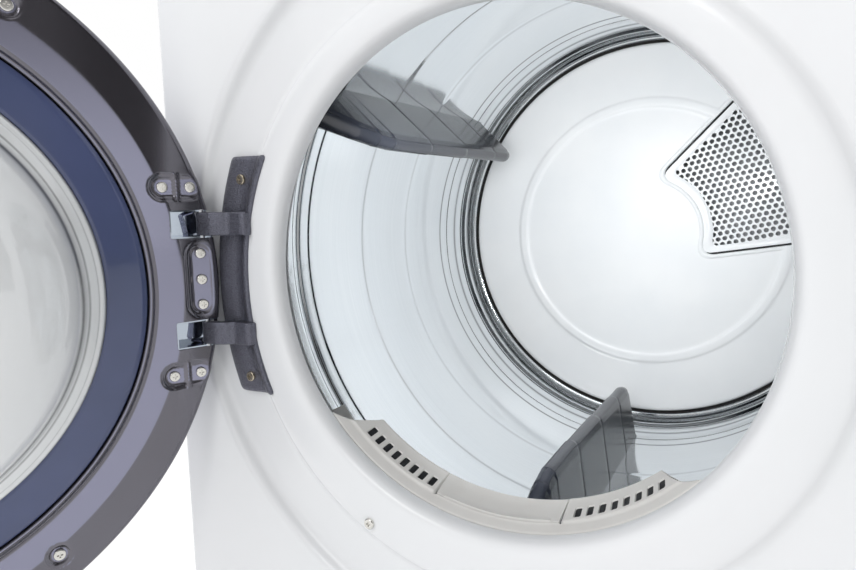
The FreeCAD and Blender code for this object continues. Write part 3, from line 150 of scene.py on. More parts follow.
def mouldedOrPainted(name, s):
    # base colour drifts between two shades in patches, and a fine grain moves the roughness and gives the bump
    material, tree = newFinish(name)
    patch = addNode(tree, "ShaderNodeTexNoise", {}, {
        "Vector": (objectPoint(tree), "Vector"), "Scale": perMetre(s["patchMm"]),
        "Detail": 3.0, "Roughness": 0.55})
    grain = addNode(tree, "ShaderNodeTexNoise", {}, {
        "Vector": (objectPoint(tree), "Vector"), "Scale": perMetre(s["grainMm"]),
        "Detail": 4.0, "Roughness": 0.6})
    bump = addNode(tree, "ShaderNodeBump", {}, {
        "Height": (grain, "Fac"), "Strength": s["bump"], "Distance": s["grainMm"] / 4000})
    inputs = {
        "Base Color": (mixedColour(tree, (patch, "Fac"), s["shade"], s["colour"]), "Color"),
        "Roughness": (spread(tree, (grain, "Fac"), *s["rough"]), "Result"),
        "Metallic": s.get("metal", 0.0),
        "Normal": (bump, "Normal"),
        "Coat Weight": s.get("coat", 0.0),
        "Coat Roughness": s.get("coatRough", 0.05),
        "Sheen Weight": s.get("sheen", 0.0),
    }
    if "ior" in s:
        inputs["IOR"] = s["ior"]
    if "glint" in s:
        inputs["Specular Tint"] = linear(s["glint"])
    if "slopeShadedGlint" in s:
        # painted shade: faces that lean away from the piece's flat side carry a 0..1 value that darkens their
        # colour and dims their glint, in place of the dark reflection they would show
        crease = addNode(tree, "ShaderNodeAttribute", {"attribute_name": "crease"})
        for socket, flat, sloped in (
                ("Specular Tint", "glint", "slopeShadedGlint"), ("Base Color", "colour", "slopeShadedColour")):
            inputs[socket] = (mixedColour(tree, (crease, "Fac"), s[flat], s[sloped], 0.0, 1.0), "Color")
    shader = addNode(tree, "ShaderNodeBsdfPrincipled", {}, inputs)
    finishBody(tree, shader)
    return material


# ------------------------------------------------------------ finishes
# White powder enamel on steel: baked gloss paint, so a clear highlight over very faint orange peel
outerEnamel = mouldedOrPainted("bakedWhiteEnamel", {
    "colour": "#eaebed", "shade": "#e6e8ea", "patchMm": 320, "rough": (0.22, 0.28), "grainMm": 6.0,
    "bump": 0.015, "coat": 0.35, "coatRough": 0.10})

# Enamel on the inner bulkheads: the same paint, a touch bluer and glossier
innerEnamel = mouldedOrPainted("bulkheadEnamel", {
    "colour": "#f1f4f6", "shade": "#ebeff2", "patchMm": 160, "rough": (0.14, 0.20), "grainMm": 8.0,
    "bump": 0.03, "coat": 0.4, "coatRough": 0.06})

# Filled polypropylene of the lifters: dark, satin, with a fine spark-eroded grain
lifterPlastic = mouldedOrPainted("lifterPolypropylene", {
    "colour": "#31343c", "shade": "#2b2e36", "patchMm": 70, "rough": (0.22, 0.30), "grainMm": 1.2,
    "bump": 0.04, "ior": 1.6, "coat": 0.2, "coatRough": 0.15})

# Off-white ABS of the lint lip: satin moulding
lipPlastic = mouldedOrPainted("lipAbs", {
    "colour": "#dfdedb", "shade": "#d9d7d4", "patchMm": 60, "rough": (0.30, 0.40), "grainMm": 1.0,
    "bump": 0.10})

# Dark metallic lacquer on the door ring: nearly a mirror, so flats take the pale studio; the curves get painted
# shade, a darker colour and a dimmer glint, in place of the dark reflection they would show
doorLacquer = mouldedOrPainted("doorRingLacquer", {
    "colour": "#504d52", "shade": "#4a474d", "patchMm": 120, "rough": (0.09, 0.14), "grainMm": 1.5,
    "bump": 0.012, "ior": 3.8, "glint": "#dcdeff", "coat": 0.5, "coatRough": 0.03,
    "slopeShadedGlint": "#a9a7b2", "slopeShadedColour": "#353337"})

# Smoky blue translucent acrylic ring, polished
blueAcrylic = mouldedOrPainted("smokedBlueAcrylic", {
    "colour": "#545d82", "shade": "#4a5475", "patchMm": 140, "rough": (0.10, 0.16), "grainMm": 9.0,
    "bump": 0.02, "coat": 0.4, "coatRough": 0.03, "ior": 1.49})

# Galvanised sheet: zinc with a soft satin sheen
galvanised = mouldedOrPainted("galvanisedSheet", {
    "colour": "#b4b7ba", "shade": "#9ea2a6", "patchMm": 14, "rough": (0.32, 0.5), "grainMm": 6.0,
    "bump": 0.06, "metal": 0.9})

# White gloss ABS of the control fascia
fasciaPlastic = mouldedOrPainted("fasciaAbs", {
    "colour": "#e8e9eb", "shade": "#e4e5e8", "patchMm": 200, "rough": (0.22, 0.30), "grainMm": 2.0,
    "bump": 0.04, "coat": 0.3, "coatRough": 0.1})

# Piano-black acrylic over the display
blackAcrylic = mouldedOrPainted("blackAcrylic", {
    "colour": "#0d0e10", "shade": "#0a0b0d", "patchMm": 90, "rough": (0.05, 0.09), "grainMm": 6.0,
    "bump": 0.01, "coat": 1.0, "coatRough": 0.02})

# Satin metallised plastic on the knob and the buttons
satinSilver = mouldedOrPainted("satinSilverPlating", {
    "colour": "#b9bcc1", "shade": "#a9acb2", "patchMm": 40, "rough": (0.22, 0.32), "grainMm": 0.6,
    "bump": 0.05, "metal": 0.85})

# Black gloss acetal liners in the hinge slots
linerBlack = mouldedOrPainted("linerAcetal", {
    "colour": "#101116", "shade": "#0c0d11", "patchMm": 30, "rough": (0.05, 0.09), "grainMm": 4.0,
    "bump": 0.01, "ior": 9.0, "glint": "#e4f0ff", "coat": 1.0})

# Zinc and yellow-passivated screws
passivated = mouldedOrPainted("passivatedScrew", {
    "colour": "#c9c1b0", "shade": "#a79c86", "patchMm": 3, "rough": (0.18, 0.34), "grainMm": 0.5,
    "bump": 0.08, "metal": 1.0})

# Bright zinc-plated screws in the door
brightZinc = mouldedOrPainted("brightZincScrew", {
    "colour": "#e6e4df", "shade": "#dcdad4", "patchMm": 12, "rough": (0.10, 0.16), "grainMm": 3.0,
    "bump": 0.01, "metal": 1.0})

# Ground steel pins and shafts
groundSteel = mouldedOrPainted("groundSteel", {
    "colour": "#c4c6c9", "shade": "#b2b5b9", "patchMm": 12, "rough": (0.16, 0.28), "grainMm": 0.6,
    "bump": 0.04, "metal": 1.0})

# White acetal latch and switch parts
acetal = mouldedOrPainted("whiteAcetal", {
    "colour": "#dddedd", "shade": "#d3d5d4", "patchMm": 20, "rough": (0.26, 0.36), "grainMm": 0.8,
    "bump": 0.06})

# Pressed wool felt
woolFelt = mouldedOrPainted("woolFelt", {
    "colour": "#2c2b2b", "shade": "#232222", "patchMm": 9, "rough": (0.85, 0.98), "grainMm": 0.9,
    "bump": 0.7, "sheen": 0.4})

# Vulcanised rubber
rubber = mouldedOrPainted("vulcanisedRubber", {
    "colour": "#1b1b1c", "shade": "#141415", "patchMm": 25, "rough": (0.55, 0.72), "grainMm": 0.8,
    "bump": 0.25})

# Grey moulded ducting
ductPlastic = mouldedOrPainted("ductPolypropylene", {
    "colour": "#8c8f93", "shade": "#82858a", "patchMm": 50, "rough": (0.4, 0.55), "grainMm": 1.2,
    "bump": 0.15})

# Black covers and blower wheel
blackPlastic = mouldedOrPainted("blackPolypropylene", {
    "colour": "#202124", "shade": "#1a1b1d", "patchMm": 35, "rough": (0.38, 0.5), "grainMm": 1.0,
    "bump": 0.2})

# Motor paint
motorPaint = mouldedOrPainted("motorPaint", {
    "colour": "#43464a", "shade": "#3a3d41", "patchMm": 30, "rough": (0.35, 0.5), "grainMm": 1.4,
    "bump": 0.2, "coat": 0.2})

# Fibreglass circuit board with green resist
boardResist = mouldedOrPainted("boardResist", {
    "colour": "#1e5a34", "shade": "#184a2b", "patchMm": 12, "rough": (0.25, 0.4), "grainMm": 1.5,
    "bump": 0.1, "coat": 0.4})

# Oxidised nickel-chrome element
elementAlloy = mouldedOrPainted("elementAlloy", {
    "colour": "#6a635b", "shade": "#4d4842", "patchMm": 8, "rough": (0.45, 0.65), "grainMm": 0.8,
    "bump": 0.2, "metal": 1.0})


def makeDrumSteel(s):
    # rolled stainless: a mirror-like metal whose rolling lines run round the drum, so they change along y only
    material, tree = newFinish("rolledStainless")
    lines = addNode(tree, "ShaderNodeTexNoise", {}, {
        "Vector": (objectPoint(tree, (s["roundScale"], perMetre(s["lineMm"]), s["roundScale"])), "Vector"),
        "Scale": 1.0, "Detail": 3.0, "Roughness": 0.7})
    waves = addNode(tree, "ShaderNodeTexNoise", {}, {
        "Vector": (objectPoint(tree, (1, 0.6, 1)), "Vector"), "Scale": perMetre(s["waveMm"]), "Detail": 1.0})
    fine = addNode(tree, "ShaderNodeBump", {}, {
        "Height": (lines, "Fac"), "Strength": s["lineBump"], "Distance": 0.0002})
    broad = addNode(tree, "ShaderNodeBump", {}, {
        "Height": (waves, "Fac"), "Strength": s["waveBump"], "Distance": 0.004, "Normal": (fine, "Normal")})
    shader = addNode(tree, "ShaderNodeBsdfPrincipled", {}, {
        "Metallic": 1.0,
        "Roughness": (spread(tree, (lines, "Fac"), *s["rough"]), "Result"),
        "Normal": (broad, "Normal"),
    })
    # painted shade: where a bead is rolled in, a value on the mesh darkens the steel's colour in place of the
    # shade in the groove
    crease = addNode(tree, "ShaderNodeAttribute", {"attribute_name": "crease"})
    darker = addNode(tree, "ShaderNodeMix", {"data_type": "RGBA"})
    tree.links.new(crease.outputs["Fac"], darker.inputs["Factor"])
    plain = mixedColour(tree, (lines, "Fac"), s["shade"], s["colour"], 0.25, 0.75)
    tree.links.new(plain.outputs["Color"], darker.inputs["A"])
    darker.inputs["B"].default_value = linear(s["crease"])
    tree.links.new(darker.outputs["Result"], shader.inputs["Base Color"])
    finishBody(tree, shader)
    return material


# painted shade: the last colour darkens the steel along the rolled beads
drumSteel = makeDrumSteel({
    "colour": "#eef1f3", "shade": "#e2e6e9", "lineMm": 0.9, "roundScale": 5.0, "waveMm": 220,
    "lineBump": 0.04, "waveBump": 0.03, "rough": (0.05, 0.12), "crease": "#1d2022"})


def makeCastZinc(s):
    # die-cast zinc under dark textured powder coat: raised specks about a millimetre across
    material, tree = newFinish("texturedCastZinc")
    specks = addNode(tree, "ShaderNodeTexVoronoi", {}, {
        "Vector": (objectPoint(tree), "Vector"), "Scale": perMetre(s["speckMm"]), "Randomness": 1.0})
    cloud = addNode(tree, "ShaderNodeTexNoise", {}, {
        "Vector": (objectPoint(tree), "Vector"), "Scale": perMetre(s["speckMm"] * 0.8),
        "Detail": 5.0, "Roughness": 0.7})
    bump = addNode(tree, "ShaderNodeBump", {}, {
        "Height": (specks, "Distance"), "Strength": s["bump"], "Distance": 0.0004})
    bump2 = addNode(tree, "ShaderNodeBump", {}, {
        "Height": (cloud, "Fac"), "Strength": s["bump"] * 0.7, "Distance": 0.0003, "Normal": (bump, "Normal")})
    shader = addNode(tree, "ShaderNodeBsdfPrincipled", {}, {
        "Base Color": (mixedColour(tree, (cloud, "Fac"), s["shade"], s["colour"]), "Color"),
        "IOR": s["ior"],
        "Specular Tint": linear(s["glint"]),
        "Roughness": (spread(tree, (cloud, "Fac"), 0.22, 0.36), "Result"),
        "Normal": (bump2, "Normal"),
    })
    finishBody(tree, shader)
    return material


castZinc = makeCastZinc({
    "colour": "#52525a", "shade": "#1c1c20", "speckMm": 1.5, "bump": 1.0, "ior": 2.3, "glint": "#d0d2e6"})


def makeGlass(name, s):
    # toughened glass: clear body with a trace of tint and barely any roughness; a value on the mesh darkens the
    # base colour in lines, a painted reflection of the dark lines that the stepped rim bends into view
    material, tree = newFinish(name)
    waver = addNode(tree, "ShaderNodeTexNoise", {}, {
        "Vector": (objectPoint(tree), "Vector"), "Scale": perMetre(120), "Detail": 1.0})
    bump = addNode(tree, "ShaderNodeBump", {}, {"Height": (waver, "Fac"), "Strength": 0.03, "Distance": 0.002})
    crease = addNode(tree, "ShaderNodeAttribute", {"attribute_name": "crease"})
    shader = addNode(tree, "ShaderNodeBsdfPrincipled", {}, {
        "Base Color": (mixedColour(tree, (crease, "Fac"), s["colour"], s["crease"], 0.0, 1.0), "Color"),
        "Roughness": s["rough"],
        "IOR": s["ior"],
        "Transmission Weight": s["clear"],
        "Normal": (bump, "Normal"),
    })
    finishBody(tree, shader)
    return material


# painted reflection: the second colour draws dark lines into the bowl
bowlGlass = makeGlass("toughenedBowlGlass", {
    "colour": "#f8fafb", "crease": "#24282c", "rough": 0.04, "ior": 1.9, "clear": 0.10})
windowGlass = makeGlass("smokedWindow", {
    "colour": "#b9bdc2", "crease": "#24282c", "rough": 0.08, "ior": 1.5, "clear": 0.15})
print("finishes made")


# ------------------------------------------------------------ mesh helpers
def closedLine(corners, closed=False):
    # polyline whose corners (a, b, radius) are rounded: each corner becomes a quadratic curve of 7 points
    points = np.array([c[:2] for c in corners], float)
    radii = [c[2] if len(c) > 2 else 0.0 for c in corners]
    out = []
    count = len(points)
    t = np.linspace(0, 1, 7)[:, None]
    for i in range(count):
        here = points[i]
        if radii[i] <= 0 or (not closed and i in (0, count - 1)):
            out.append(here[None])
            continue
        before, after = points[i - 1] - here, points[(i + 1) % count] - here
        reachBefore = min(radii[i], 0.48 * np.linalg.norm(before))
        reachAfter = min(radii[i], 0.48 * np.linalg.norm(after))
        a = here + before / np.linalg.norm(before) * reachBefore
        b = here + after / np.linalg.norm(after) * reachAfter
        out.append((1 - t) ** 2 * a + 2 * t * (1 - t) * here + t ** 2 * b)
    return np.concatenate(out)


def evenly(line, step):
    # the same polyline with extra points, no further apart than step
    pieces = []
    for a, b in zip(line[:-1], line[1:]):
        count = max(1, int(math.ceil(np.linalg.norm(b - a) / step)))
        pieces.append(a + (b - a) * (np.arange(count) / count)[:, None])
    return np.concatenate(pieces + [line[-1:]])


def lathe(line, angles, centreZ):
    # x = r cos a, y = front + depth, z = cz + r sin a, for a profile of (r, depth)
    r, depth = line[:, 0][None], line[:, 1][None]
    a = np.radians(angles)[:, None]
    return np.stack([r * np.cos(a), frontY + depth + 0 * a, centreZ + r * np.sin(a)], -1)


def gridMesh(name, grid, wrapU, wrapV, towards=None, caps=False):
    # quads over an (nu, nv, 3) grid in millimetres; doubles are merged, which closes poles;
    # an open sheet is turned to face the point "towards", a closed one gets outward normals
    nu, nv = grid.shape[:2]
    index = np.arange(nu * nv).reshape(nu, nv)
    u1 = np.roll(index, -1, 0) if wrapU else index[1:]
    base = index if wrapU else index[:-1]
    a, b = base, u1
    if wrapV:
        quads = np.stack([a, b, np.roll(b, -1, 1), np.roll(a, -1, 1)], -1)
    else:
        quads = np.stack([a[:, :-1], b[:, :-1], b[:, 1:], a[:, 1:]], -1)
    faces = quads.reshape(-1, 4).tolist()
    if caps:
        faces.append(index[0].tolist())
        faces.append(index[-1][::-1].tolist())
    mesh = bpy.data.meshes.new(name)
    mesh.from_pydata((grid.reshape(-1, 3) / 1000).tolist(), [], faces)
    work = bmesh.new()
    work.from_mesh(mesh)
    bmesh.ops.remove_doubles(work, verts=work.verts, dist=1e-6)
    bmesh.ops.dissolve_degenerate(work, edges=work.edges, dist=1e-7)
    if towards is None:
        bmesh.ops.recalc_face_normals(work, faces=work.faces)
    else:
        eye = Vector(towards) / 1000
        lean = sum(f.normal.dot(eye - f.calc_center_median()) * f.calc_area() for f in work.faces)
        if lean < 0:
            bmesh.ops.reverse_faces(work, faces=work.faces)
    work.to_mesh(mesh)
    work.free()
    return mesh


def addPiece(name, mesh, finish, stands, sharp=35.0, wall=None, bevel=None):
    # object from a mesh, riding on the body of the CAD nodes it stands for
    piece = bpy.data.objects.new(name, mesh)
    bpy.context.scene.collection.objects.link(piece)
    mesh.materials.clear()
    mesh.materials.append(finish)
    mesh.shade_smooth()
    if wall:
        addWall(piece, wall)
    if bevel:
        soften = piece.modifiers.new("soften", "BEVEL")
        soften.width = bevel / 1000
        soften.segments = 2
        soften.limit_method = "ANGLE"
        soften.angle_limit = math.radians(38)
        soften.harden_normals = False
    mesh.set_sharp_from_angle(angle=math.radians(sharp))
    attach(piece, nodeBody[stands[0]])
    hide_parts(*stands)
    return piece


def addExtra(name, mesh, finish, sharp=None):
    # a piece of the cabinet that has no CAD node of its own
    piece = bpy.data.objects.new(name, mesh)
    bpy.context.scene.collection.objects.link(piece)
    mesh.materials.append(finish)
    if sharp:
        mesh.shade_smooth()
        mesh.set_sharp_from_angle(angle=math.radians(sharp))
    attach(piece, "cabinet")
    return piece


def addWall(piece, thickness):
    # sheet thickness in millimetres, grown behind the faces
    thick = piece.modifiers.new("wall", "SOLIDIFY")
    thick.thickness = thickness / 1000
    thick.offset = -1


def cutWith(piece, cutters):
    # Boolean difference, applied to the mesh
    for cutter in cutters:
        bite = piece.modifiers.new("bite", "BOOLEAN")
        bite.operation = "DIFFERENCE"
        bite.solver = "EXACT"
        bite.object = cutter
    bpy.context.view_layer.update()
    seen = piece.evaluated_get(bpy.context.evaluated_depsgraph_get())
    made = bpy.data.meshes.new_from_object(seen)
    finish = piece.data.materials[0]
    piece.modifiers.clear()
    piece.data = made
    made.materials.clear()
    made.materials.append(finish)
    for cutter in cutters:
        bpy.data.objects.remove(cutter)
    return piece


def atDepth(outline, depth):
    # an (x, z) outline placed at one depth
    return np.stack([outline[:, 0], np.full(len(outline), frontY + depth), outline[:, 1]], -1)


def prismCutter(outline, depth0, depth1, onDoor=False):
    # solid from an (x, z) outline between two depths, given in the closed door's place if it cuts the door
    rows = np.stack([atDepth(outline, d) for d in (depth0, depth1)])
    mesh = gridMesh("cutter", swung(rows) if onDoor else rows, False, True, caps=True)
    cutter = bpy.data.objects.new("cutter", mesh)
    bpy.context.scene.collection.objects.link(cutter)
    return cutter


def smoothStep(x, low, high):
    t = np.clip((x - low) / (high - low), 0, 1)
    return t * t * (3 - 2 * t)


# painted shade: a 0..1 value on the points that the finishes read to darken their colour
def storePaintedShade(mesh, values):
    mesh.attributes.new("crease", "FLOAT", "POINT").data.foreach_set("value", values.astype(np.float32))


def markPaintedShade(mesh, place, paintedShadeLines):
    # a 0..1 painted-shade value on the points: bell curves of their place, (middle, half width, strength) each
    dark = np.max([power * np.exp(-((place - at) / half) ** 2) for at, half, power in paintedShadeLines], axis=0)
    storePaintedShade(mesh, dark)


def meshPoints(mesh):
    # (n, 3) vertex places in millimetres
    points = np.empty(len(mesh.vertices) * 3)
    mesh.vertices.foreach_get("co", points)
    return points.reshape(-1, 3) * 1000


def finishedCopy(node, finish, sharp=32.0, bevel=None):
    # the CAD node's own shape, merged into one smooth-shaded mesh
    mesh = cadNodes[node].data.copy()
    mesh.name = node + ".finished"
    work = bmesh.new()
    work.from_mesh(mesh)
    bmesh.ops.remove_doubles(work, verts=work.verts, dist=2e-6)
    work.to_mesh(mesh)
    work.free()
    for attribute in [a.name for a in mesh.attributes if a.name.startswith("custom_normal")]:
        mesh.attributes.remove(mesh.attributes[attribute])
    return addPiece(node + ".finished", mesh, finish, [node], sharp=sharp, bevel=bevel)


# ------------------------------------------------------------ front panel
frontPanel = {
    "openingZ": 520.0, "recessZ": 509.0,
    "halfWidth": 343.0, "bottom": 26.0, "top": 850.5, "edgeRound": 6.0, "returnDepth": 18.0, "sheet": 1.2,
    "landR": 222.0, "dishR": 248.0,     # between these the circles slide from one centre to the other
    "latchX": 285.0, "latchHalf": (11.3, 20.3), "switchHoleR": 4.3, "switchBelow": 42.0,
    # (radius, depth, rounding); the rolled throat first, then the land, the dish and its rim
    "profile": [
        (209.7, 20.7), (210.3, 13.5, 5), (214.5, 6.6, 5), (222.0, 4.5, 7), (247.0, 4.5, 12),
        (255.0, 10.2, 8), (262.0, 11.0, 6), (297.0, 11.0, 8), (304.0, 8.6, 6), (308.4, 1.4, 5),
        (313.4, 0.0, 5), (318.0, 0.0),
    ],
}


def boxEdge(angles, s, inset):
    # where a ray from the recess centre meets the panel's outline moved in by inset
    c, n = np.cos(angles), np.sin(angles)
    halfWidth = s["halfWidth"] - inset
    up, down = s["top"] - inset - s["recessZ"], s["recessZ"] - s["bottom"] - inset
    with np.errstate(divide="ignore"):
        reach = np.minimum(halfWidth / np.abs(c), np.where(n > 0, up, down) / np.abs(n))
    return reach


def makeFrontPanel(s):
    # one sheet from the throat out to the folded edges: circles whose centre slides from the opening's to the
    # recess's, then a blend from the rim circle to the panel's rectangle, then the rolled edge
    corners = [math.degrees(math.atan2(z, x)) % 360 for x in (-s["halfWidth"], s["halfWidth"])
               for z in (s["top"] - s["recessZ"], s["bottom"] - s["recessZ"])]
    angles = np.unique(np.round(np.concatenate([np.arange(0, 360, 1.0), corners]), 4))
    a = np.radians(angles)
    line = evenly(closedLine(s["profile"]), 6.0)
    slide = np.clip((line[:, 0] - s["landR"]) / (s["dishR"] - s["landR"]), 0, 1)
    centre = s["openingZ"] + (s["recessZ"] - s["openingZ"]) * slide
    inner = np.stack([
        line[:, 0][None] * np.cos(a)[:, None], frontY + line[:, 1][None] + 0 * a[:, None],
        centre[None] + line[:, 0][None] * np.sin(a)[:, None]], -1)
    rimR = line[-1, 0]
    flatEdge = boxEdge(a, s, s["edgeRound"])
    t = np.linspace(0, 1, 14)[1:]
    radius = rimR + (flatEdge - rimR)[:, None] * t[None]
    flat = np.stack([
        radius * np.cos(a)[:, None], np.full_like(radius, frontY),
        s["recessZ"] + radius * np.sin(a)[:, None]], -1)

    def edgeRow(inset, depth):
        # the rectangle moved in by inset, at this depth
        edge = boxEdge(a, s, inset)
        return atDepth(np.stack([edge * np.cos(a), s["recessZ"] + edge * np.sin(a)], -1), depth)

    rows = [edgeRow(s["edgeRound"] * (1 - math.sin(angle)), s["edgeRound"] * (1 - math.cos(angle)))
            for angle in np.radians(np.linspace(0, 90, 8)[1:])]
    rows.append(edgeRow(0.0, s["returnDepth"]))
    grid = np.concatenate([inner, flat, np.stack(rows, 1)], 1)
    mesh = gridMesh("frontPanelSheet", grid, True, False, towards=(0, -4000, 520))
    piece = addPiece("frontPanelSheet", mesh, outerEnamel, ["front_panel"], sharp=50, wall=s["sheet"])
    box = np.array([(-1, -1), (1, -1), (1, 1), (-1, 1)]) * s["latchHalf"] + [s["latchX"], s["recessZ"]]
    ring = np.radians(np.arange(0, 360, 15))
    hole = np.stack([s["latchX"] + s["switchHoleR"] * np.cos(ring),
                     s["recessZ"] - s["switchBelow"] + s["switchHoleR"] * np.sin(ring)], -1)
    cutWith(piece, [prismCutter(box, 2, 30), prismCutter(hole, 2, 30)])
    piece.data.set_sharp_from_angle(angle=math.radians(50))
    return piece


makeFrontPanel(frontPanel)
print("front panel made")


# ------------------------------------------------------------ drum
drum = {
    "axisZ": 523.0, "radius": 322.0, "wall": 1.0,
    # (depth, radius change, rounding) from front to back
    "profile": [
        (52, 0), (160, 0, 3), (163, 3, 2), (170, 3, 2), (173, 0, 3), (188, 0, 1), (190, -1, 1),
        (304, -1, 4), (311, 0.5, 4), (422, 0.5, 4), (430, -1, 4), (540, -1, 2), (543, -2, 2),
        (564, -2, 3), (570, -0.5, 3), (592, -0.5, 4), (599, -3.5, 4), (617, -3.5, 2), (620, 0, 2),
        (629, 0, 2), (633, -5.5, 2), (652, -5.5, 2), (655, -3.5, 1.5), (661, -3.5, 1.5), (664, -7.5, 1.5),
        (667.4, -8.2, 1.0), (667.9, -12.6),
    ],
    # (depth, half width, strength) of the painted shade lines at the rolled beads
    "paintedShadeLines": [
        (53, 2.0, 0.9), (161.5, 1.2, 0.35), (171.5, 1.2, 0.6), (189.0, 1.0, 0.95), (307.5, 2.2, 0.28),
        (426.0, 2.2, 0.28), (541.5, 1.4, 0.7), (567.0, 1.6, 0.5), (596.0, 1.8, 0.6), (618.5, 1.4, 0.95),
        (631.0, 1.6, 0.95), (653.5, 1.2, 0.9), (662.5, 1.2, 0.95),
    ],
}


def makeDrum(s):
    # profile of radius against depth, rounded at its bends and turned about the drum axis
    line = evenly(closedLine([(c[0], s["radius"] + c[1]) + tuple(c[2:]) for c in s["profile"]]), 4.0)[:, ::-1]
    grid = lathe(line, np.arange(0, 360, 1.5), s["axisZ"])
    mesh = gridMesh("drumWall", grid, True, False, towards=(0, 0, s["axisZ"]))
    markPaintedShade(mesh, meshPoints(mesh)[:, 1] - frontY, s["paintedShadeLines"])
    return addPiece("drumWall", mesh, drumSteel, ["drum_shell"], sharp=60, wall=s["wall"])


makeDrum(drum)


lifterShape = {
    "angles": {"lifter_1": -92.0, "lifter_2": 28.0, "lifter_3": 148.0},
    "front": 96.0, "rear": 584.0, "root": 321.8, "rootHalf": 25.0, "ridgeHalf": 8.5, "sideShare": 0.80,
    # (depth, ridge radius) along the lifter
    "ridge": [
        (96, 320.8), (118, 284), (150, 252), (176, 237), (198, 230), (284, 229), (288, 231), (394, 232),
        (398, 234), (499, 235), (503, 236.5), (556, 236.5), (566, 239), (573, 248), (584, 320.8),
    ],
    "foldDepths": (286.0, 396.0, 501.0), "foldHalf": 3.0, "foldDeep": 0.9,
}


def makeLifter(name, s):
    # a tent carried along the drum: its section is a root line, two leaning sides and a rounded ridge, and the
    # ridge radius follows a curve of depth; shallow folds cross it at three stations
    knots = np.array(s["ridge"], float)
    depth = np.unique(np.concatenate([np.linspace(s["front"], s["rear"], 130), knots[:, 0],
                                      *[np.linspace(f - 5, f + 5, 9) for f in s["foldDepths"]]]))
    ridge = np.interp(depth, knots[:, 0], knots[:, 1])
    soft = np.convolve(np.pad(ridge, 2, "edge"), np.ones(5) / 5, "valid")
    ridge = np.where((depth > 110) & (depth < 560), soft, ridge)
    t = np.linspace(-1, 1, 61)
    capShare = 1 - s["sideShare"]
    side = np.clip((np.abs(t) - capShare) / s["sideShare"], 0, 1)
    cap = np.clip(np.abs(t) / capShare, 0, 1) * math.pi / 2
    height = s["root"] - ridge
    rounding = np.minimum(s["ridgeHalf"] * 0.8, height * 0.45)
    u = ridge[:, None] + rounding[:, None] * (1 - np.cos(cap))[None]
    u = u + (s["root"] - ridge - rounding)[:, None] * side[None]
    v = s["ridgeHalf"] * np.sin(cap)[None] * np.ones_like(u)
    flare = (s["rootHalf"] - s["ridgeHalf"]) * (u - ridge[:, None]) / np.maximum(height, 1)[:, None]
    v = v + flare * (side > 0)[None]
    fold = sum(np.exp(-((depth - f) / s["foldHalf"]) ** 2) for f in s["foldDepths"])
    v = (v - s["foldDeep"] * fold[:, None]) * np.sign(t)[None]
    v = np.where(np.abs(t)[None] < 1e-9, 0, v)
    turn = math.radians(s["angles"][name])
    x = u * math.cos(turn) - v * math.sin(turn)
    z = drum["axisZ"] + u * math.sin(turn) + v * math.cos(turn)
    grid = np.stack([x, frontY + depth[:, None] + 0 * u, z], -1)
    mesh = gridMesh(name + ".tent", grid, False, True, caps=True)
    addPiece(name + ".tent", mesh, lifterPlastic, [name], sharp=45)


for lifterName in lifterShape["angles"]:
    makeLifter(lifterName, lifterShape)
print("drum and lifters made")


# ------------------------------------------------------------ rear bulkhead disc and vent
rearDisc = {
    "depth": 667.0, "plate": 690.0, "sheet": 1.0,
    # the flat plate's edges, seen from the drum axis, and its hole
    "plateHalf": 341.7, "plateUp": 377.0, "plateDown": 311.0, "plateHoleR": 305.8,
    # (radius, depth step towards the front, rounding)
    "profile": [
        (0.0, 0), (203, 0, 6), (207.5, -2.5, 4), (217.5, -2.5, 4), (222, 0, 6), (299, 0, 4),
        (304.5, 1.6, 4), (306, 7, 4), (306, 24),
    ],
}
vent = {
    "angle": 28.0, "innerR": 95.0, "outerR": 262.0, "half": 76.0, "halfAt": 80.0, "slope": 0.34, "corner": 20.0,
    "middle": 175.0, "farthest": 260.0, "gapTo": 3.6,
    # closed sections of (distance out from the fan's outline, depth behind the disc)
    "bead": [
        (10.5, 0.4), (9.8, -0.3), (8.6, -1.1), (7.2, -1.6), (5.8, -1.6), (4.6, -1.0), (3.8, 0.0),
        (3.4, 1.2), (3.3, 2.8), (4.0, 2.8), (5.5, 1.0),
    ],
    "margin": [(0.2, 1.9), (0.2, 0.5), (-0.4, 0.35), (-9.5, 0.35), (-10.0, 0.75)],
    # painted shade: a black strip in the gap between bead and margin, where there is only shadow
    "shadeStrip": [(3.6, 2.9), (3.6, 2.0), (0.0, 2.0), (0.0, 2.9)],
}


def fanOutline(s, grow, count=360):
    # outline of the fan: where the distance to its two sides and two arcs, rounded at the corners, is "grow";
    # found along rays from its middle by halving
    middle = np.array([s["middle"], 0.0])
    a = np.linspace(0, 2 * math.pi, count, endpoint=False)
    direction = np.stack([np.cos(a), np.sin(a)], -1)
    low, high = np.zeros(count), np.full(count, s["farthest"])
    lean = math.hypot(1, s["slope"])
    for _ in range(40):
        reach = (low + high) / 2
        p = middle + direction * reach[:, None]
        side = (np.abs(p[:, 1]) - s["half"] - s["slope"] * (p[:, 0] - s["halfAt"])) / lean
        radius = np.hypot(p[:, 0], p[:, 1])
        d = np.stack([side, radius - s["outerR"], s["innerR"] - radius], -1) + s["corner"]
        distance = np.sqrt((np.maximum(d, 0) ** 2).sum(-1)) + np.minimum(d.max(-1), 0) - s["corner"]
        inside = distance < grow
        low, high = np.where(inside, reach, low), np.where(inside, high, reach)
    p = middle + direction * reach[:, None]
    turn = math.radians(s["angle"])
    return np.stack([p[:, 0] * math.cos(turn) - p[:, 1] * math.sin(turn),
                     drum["axisZ"] + p[:, 0] * math.sin(turn) + p[:, 1] * math.cos(turn)], -1)


